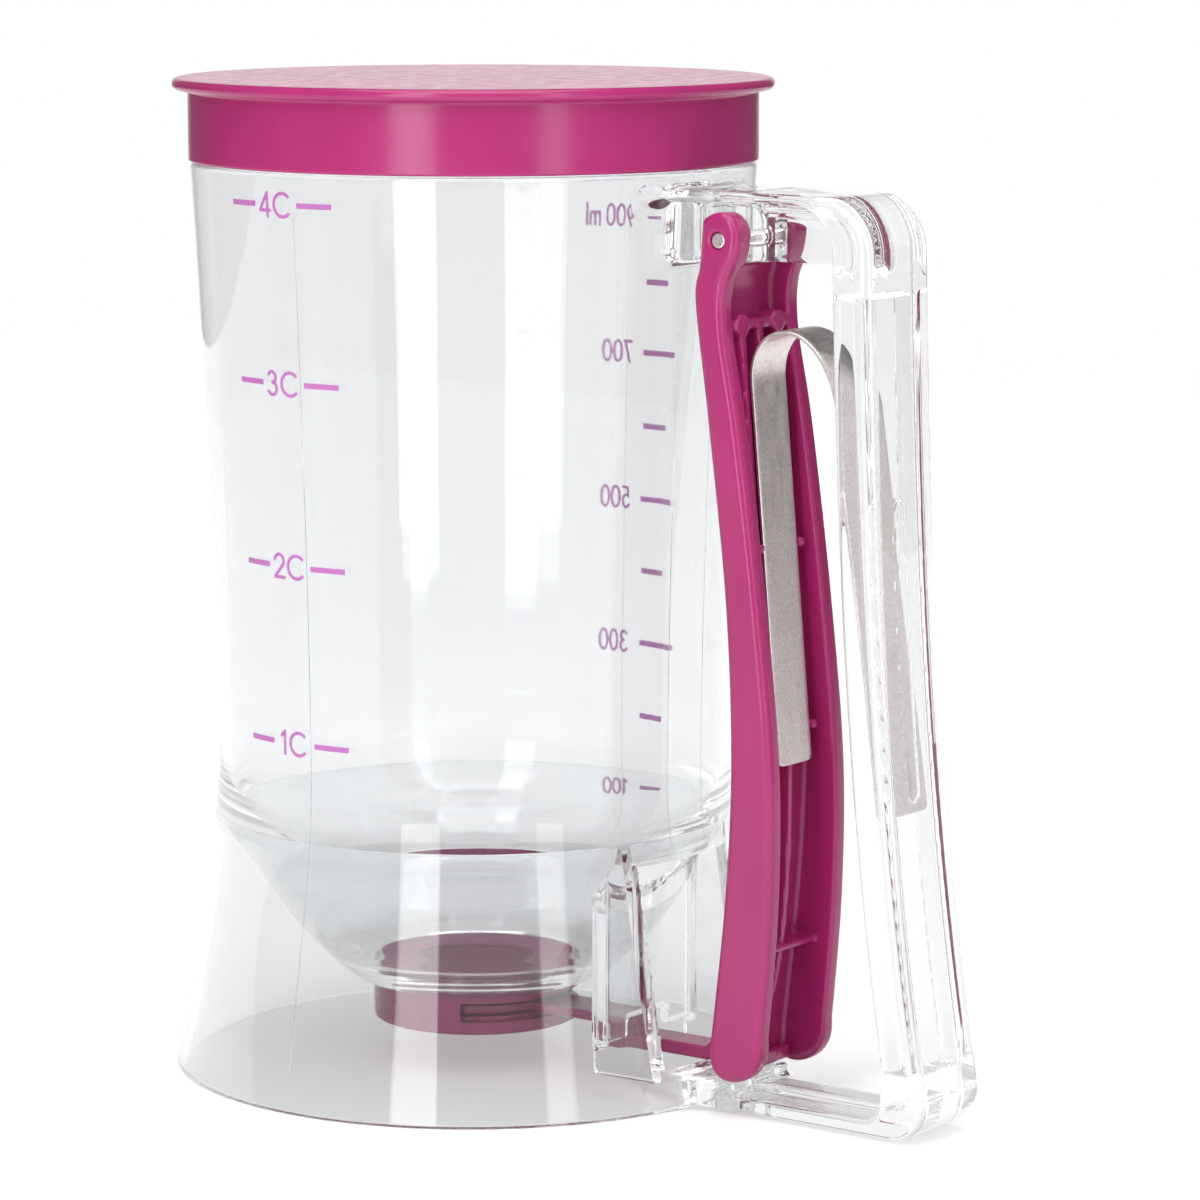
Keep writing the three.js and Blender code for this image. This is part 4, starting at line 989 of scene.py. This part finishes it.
def plastic_material(name, tones, rough, grain):
    """Moulded plastic: faint flow marks in the colour, uneven gloss, slow waves and a fine grain."""
    shader = Shader(name)
    colour = shader.tint(shader.between(shader.noise(14, (1, 1, 0.4)), 0, 1), *tones)
    gloss = shader.between(shader.noise(3.5), rough - 0.06, rough + 0.08, 0.1, 0.9)
    waves = shader.bump(shader.noise(17, detail=2.0), 0.05)
    normal = shader.bump(shader.noise(0.35, detail=4.0), grain, 1.0, waves)
    plastic = shader.add("BsdfPrincipled", Base_Color=colour, Roughness=gloss, IOR=1.5, Normal=normal)
    return shader.finish(plastic.outputs[0])


def steel_material(name, along, rough):
    """Brushed steel: long fine scratches, a slow change of gloss, and a fine grain in a grey whose warm
    pink cast is a painted reflection.
    """
    shader = Shader(name)
    scratches = shader.noise(0.5, along, 5.0)
    grain = shader.between(shader.noise(0.45, detail=2.0), 0, 1)
    # The grain runs between the steel tones, which carry the painted pink reflection.
    colour = shader.tint(grain, *STEEL_WITH_PAINTED_PINK_REFLECTION)
    gloss = shader.between(scratches, rough - 0.08, rough + 0.1)
    normal = shader.bump(scratches, 0.012)
    steel = shader.add("BsdfPrincipled", Base_Color=colour, Metallic=1.0, Roughness=gloss, Normal=normal)
    return shader.finish(steel.outputs[0])


def ink_material():
    shader = Shader("violet_ink")
    colour = shader.tint(shader.between(shader.noise(0.8), 0, 1), *INK)
    normal = shader.bump(shader.noise(0.25), 0.006)
    ink = shader.add("BsdfPrincipled", Base_Color=colour, Roughness=0.4, IOR=1.4, Normal=normal)
    ink.inputs["Transmission Weight"].default_value = 0.6
    return shader.finish(ink.outputs[0])


def backdrop_share(shader):
    """One for the rays that see the backdrop: from the camera, off gloss and through glass."""
    rays = shader.add("LightPath").outputs
    seen = shader.maths("MAXIMUM", rays["Is Camera Ray"], rays["Is Glossy Ray"])
    return shader.maths("MAXIMUM", seen, rays["Is Transmission Ray"])


def floor_material():
    """A white floor that keeps the object's shadow: part of its white is its own, the rest is lit."""
    shader = Shader("floor")
    lit = shader.add("BsdfDiffuse", Color=shader.tint(shader.noise(220), *WHITE))
    strength = shader.maths("MULTIPLY", backdrop_share(shader), FLOOR_GLOW)
    glow = shader.add("Emission", Color=(1, 1, 1, 1), Strength=strength)
    both = shader.add("AddShader")
    shader.tree.links.new(lit.outputs[0], both.inputs[0])
    shader.tree.links.new(glow.outputs[0], both.inputs[1])
    return shader.finish(both.outputs[0])


# Stage: floor, world, lamps and camera.
FLOOR_GLOW, FLOOR_HALF = 0.4, 1.1
FRONT_LIGHT, BACK_LIGHT = 0.38, 0.14
ROOM_EDGE, BACKDROP_EDGE = (-0.8, 0.5), (0.935, 0.993)
TOP_LIGHT, TOP_SPREAD = 0.46, 50.0
HEAD_DISTANCE, HEAD_RISE, HEAD_SIZE, HEAD_RADIANCE = 0.62, 50.0, (0.5, 0.3), 1.7
BOUNCES = 128

# Strip softboxes: first and last angle from the camera's direction, and radiance.
STRIPS = ((-31.0, -15.0, 3.4), (24.5, 35.5, 2.2))
STRIP_DISTANCE, STRIP_FOOT, STRIP_HEIGHT = 0.42, 0.031, 0.6

# Camera: its place in metres, its angles in degrees and its lens.
CAMERA_PLACE, CAMERA_LENS = (0.524054, -0.702747, 0.2238), 143.36
CAMERA_TURN, CAMERA_YAW, CAMERA_PITCH = 38.0, 1.506, 8.683


def make_floor():
    corners = [(x * FLOOR_HALF, y * FLOOR_HALF, 0) for x, y in ((-1, -1), (1, -1), (1, 1), (-1, 1))]
    mesh = bpy.data.meshes.new("floor")
    mesh.from_pydata(corners, [], [(0, 1, 2, 3)])
    floor = bpy.data.objects.new("floor", mesh)
    bpy.context.collection.objects.link(floor)
    mesh.materials.append(floor_material())


def facing(tree, way, start, end):
    """From none to all as a ray's direction turns toward a way."""
    dot = tree.nodes.new("ShaderNodeVectorMath")
    dot.operation = "DOT_PRODUCT"
    tree.links.new(tree.nodes.new("ShaderNodeTexCoord").outputs["Generated"], dot.inputs[0])
    dot.inputs[1].default_value = way
    ramp = tree.nodes.new("ShaderNodeMapRange")
    ramp.interpolation_type = "SMOOTHSTEP"
    tree.links.new(dot.outputs["Value"], ramp.inputs["Value"])
    ramp.inputs["From Min"].default_value, ramp.inputs["From Max"].default_value = start, end
    return ramp.outputs["Result"]


def level(tree, share, low, high):
    """From low to high as a share goes from 0 to 1."""
    blend = tree.nodes.new("ShaderNodeMix")
    for place, value in (("Factor", share), (2, low), (3, high)):
        plug(tree, blend.inputs[place], value)
    return blend.outputs[0]


def make_world():
    """The studio: a room, brighter in front of the object than behind it, and a white backdrop.
    Camera rays and rays through clear plastic see white, and gloss sees room and backdrop."""
    world = bpy.data.worlds.new("studio")
    bpy.context.scene.world = world
    world.use_nodes = True
    tree = world.node_tree
    tree.nodes.clear()
    ahead = (-math.sin(math.radians(CAMERA_TURN)), math.cos(math.radians(CAMERA_TURN)), 0)
    room = level(tree, facing(tree, ahead, *ROOM_EDGE), FRONT_LIGHT, BACK_LIGHT)
    studio = level(tree, facing(tree, ahead, *BACKDROP_EDGE), room, 1.0)
    rays = tree.nodes.new("ShaderNodeLightPath").outputs
    strength = level(tree, rays["Is Glossy Ray"], room, studio)
    strength = level(tree, rays["Is Transmission Ray"], strength, 1.0)
    strength = level(tree, rays["Is Camera Ray"], strength, 1.0)
    light = tree.nodes.new("ShaderNodeBackground")
    light.inputs["Color"].default_value = (1, 1, 1, 1)
    tree.links.new(strength, light.inputs["Strength"])
    tree.links.new(light.outputs[0], tree.nodes.new("ShaderNodeOutputWorld").inputs["Surface"])


def way_out(turn, rise):
    """A direction at angles from the camera's side of the jar and from the level."""
    turn, rise = math.radians(CAMERA_TURN - 90 + turn), math.radians(rise)
    return Vector((math.cos(turn) * math.cos(rise), math.sin(turn) * math.cos(rise), math.sin(rise)))


def add_lamp(name, size, radiance, middle, out, distance):
    """A rectangular lamp some way out from a place, turned to face it."""
    lamp = bpy.data.lights.new(name, "AREA")
    lamp.shape, lamp.size, lamp.size_y = "RECTANGLE", *size
    lamp.energy = radiance * math.pi * size[0] * size[1]
    made = bpy.data.objects.new(name, lamp)
    made.location = Vector(middle) + out * distance
    made.rotation_mode = "QUATERNION"
    made.rotation_quaternion = (-out).to_track_quat("-Z", "Y")
    bpy.context.collection.objects.link(made)


def make_lamps():
    """Two strip softboxes in front of the jar, a lamp above them and a soft light from overhead."""
    waist = (AXIS_X, 0, STRIP_FOOT + STRIP_HEIGHT / 2)
    for i, (start, end, radiance) in enumerate(STRIPS):
        width = 2 * STRIP_DISTANCE * math.tan(math.radians((end - start) / 2))
        out = way_out((start + end) / 2, 0)
        add_lamp(f"strip_{i}", (width, STRIP_HEIGHT), radiance, waist, out, STRIP_DISTANCE)
    lid = (AXIS_X, 0, LID_Z * MM)
    add_lamp("head_lamp", HEAD_SIZE, HEAD_RADIANCE, lid, way_out(0, HEAD_RISE), HEAD_DISTANCE)
    top = bpy.data.lights.new("top_light", "SUN")
    top.energy, top.angle = TOP_LIGHT * math.pi, math.radians(TOP_SPREAD)
    bpy.context.collection.objects.link(bpy.data.objects.new(top.name, top))


def make_camera():
    """The photograph's camera: turned round the jar, then a little to the right and down."""
    turn, yaw, pitch = (math.radians(a) for a in (CAMERA_TURN, CAMERA_YAW, CAMERA_PITCH))
    right = Vector((math.cos(turn), math.sin(turn), 0))
    ahead = Vector((-math.sin(turn), math.cos(turn), 0))
    forward = (right * math.sin(yaw) + ahead * math.cos(yaw)) * math.cos(pitch)
    forward.z = -math.sin(pitch)
    data = bpy.data.cameras.new("camera")
    data.lens = CAMERA_LENS
    data.clip_start, data.clip_end = 0.01, 20
    camera = bpy.data.objects.new("camera", data)
    camera.location = CAMERA_PLACE
    camera.rotation_mode = "QUATERNION"
    camera.rotation_quaternion = forward.to_track_quat("-Z", "Y")
    bpy.context.collection.objects.link(camera)
    bpy.context.scene.camera = camera


def main():
    scene = bpy.context.scene
    scene.view_settings.view_transform = "Standard"
    cycles = scene.cycles
    cycles.glossy_bounces = cycles.transmission_bounces = cycles.max_bounces = BOUNCES
    make_camera()
    make_world()
    make_lamps()
    make_floor()
    pink = plastic_material("pink_plastic", PINK, 0.19, 0.002)
    soft = plastic_material("soft_seal", SOFT_PINK, 0.55, 0.012)
    make_clear_body(clear_material())
    make_trigger(pink)
    make_lid(pink)
    make_housing(pink)
    make_gate(pink)
    make_seal(soft)
    make_spring(steel_material("spring_steel", (1, 0.25, 0.02), 0.36))
    make_pin(steel_material("pin_steel", (1, 0.03, 1), 0.3))
    make_prints(ink_material())


main()
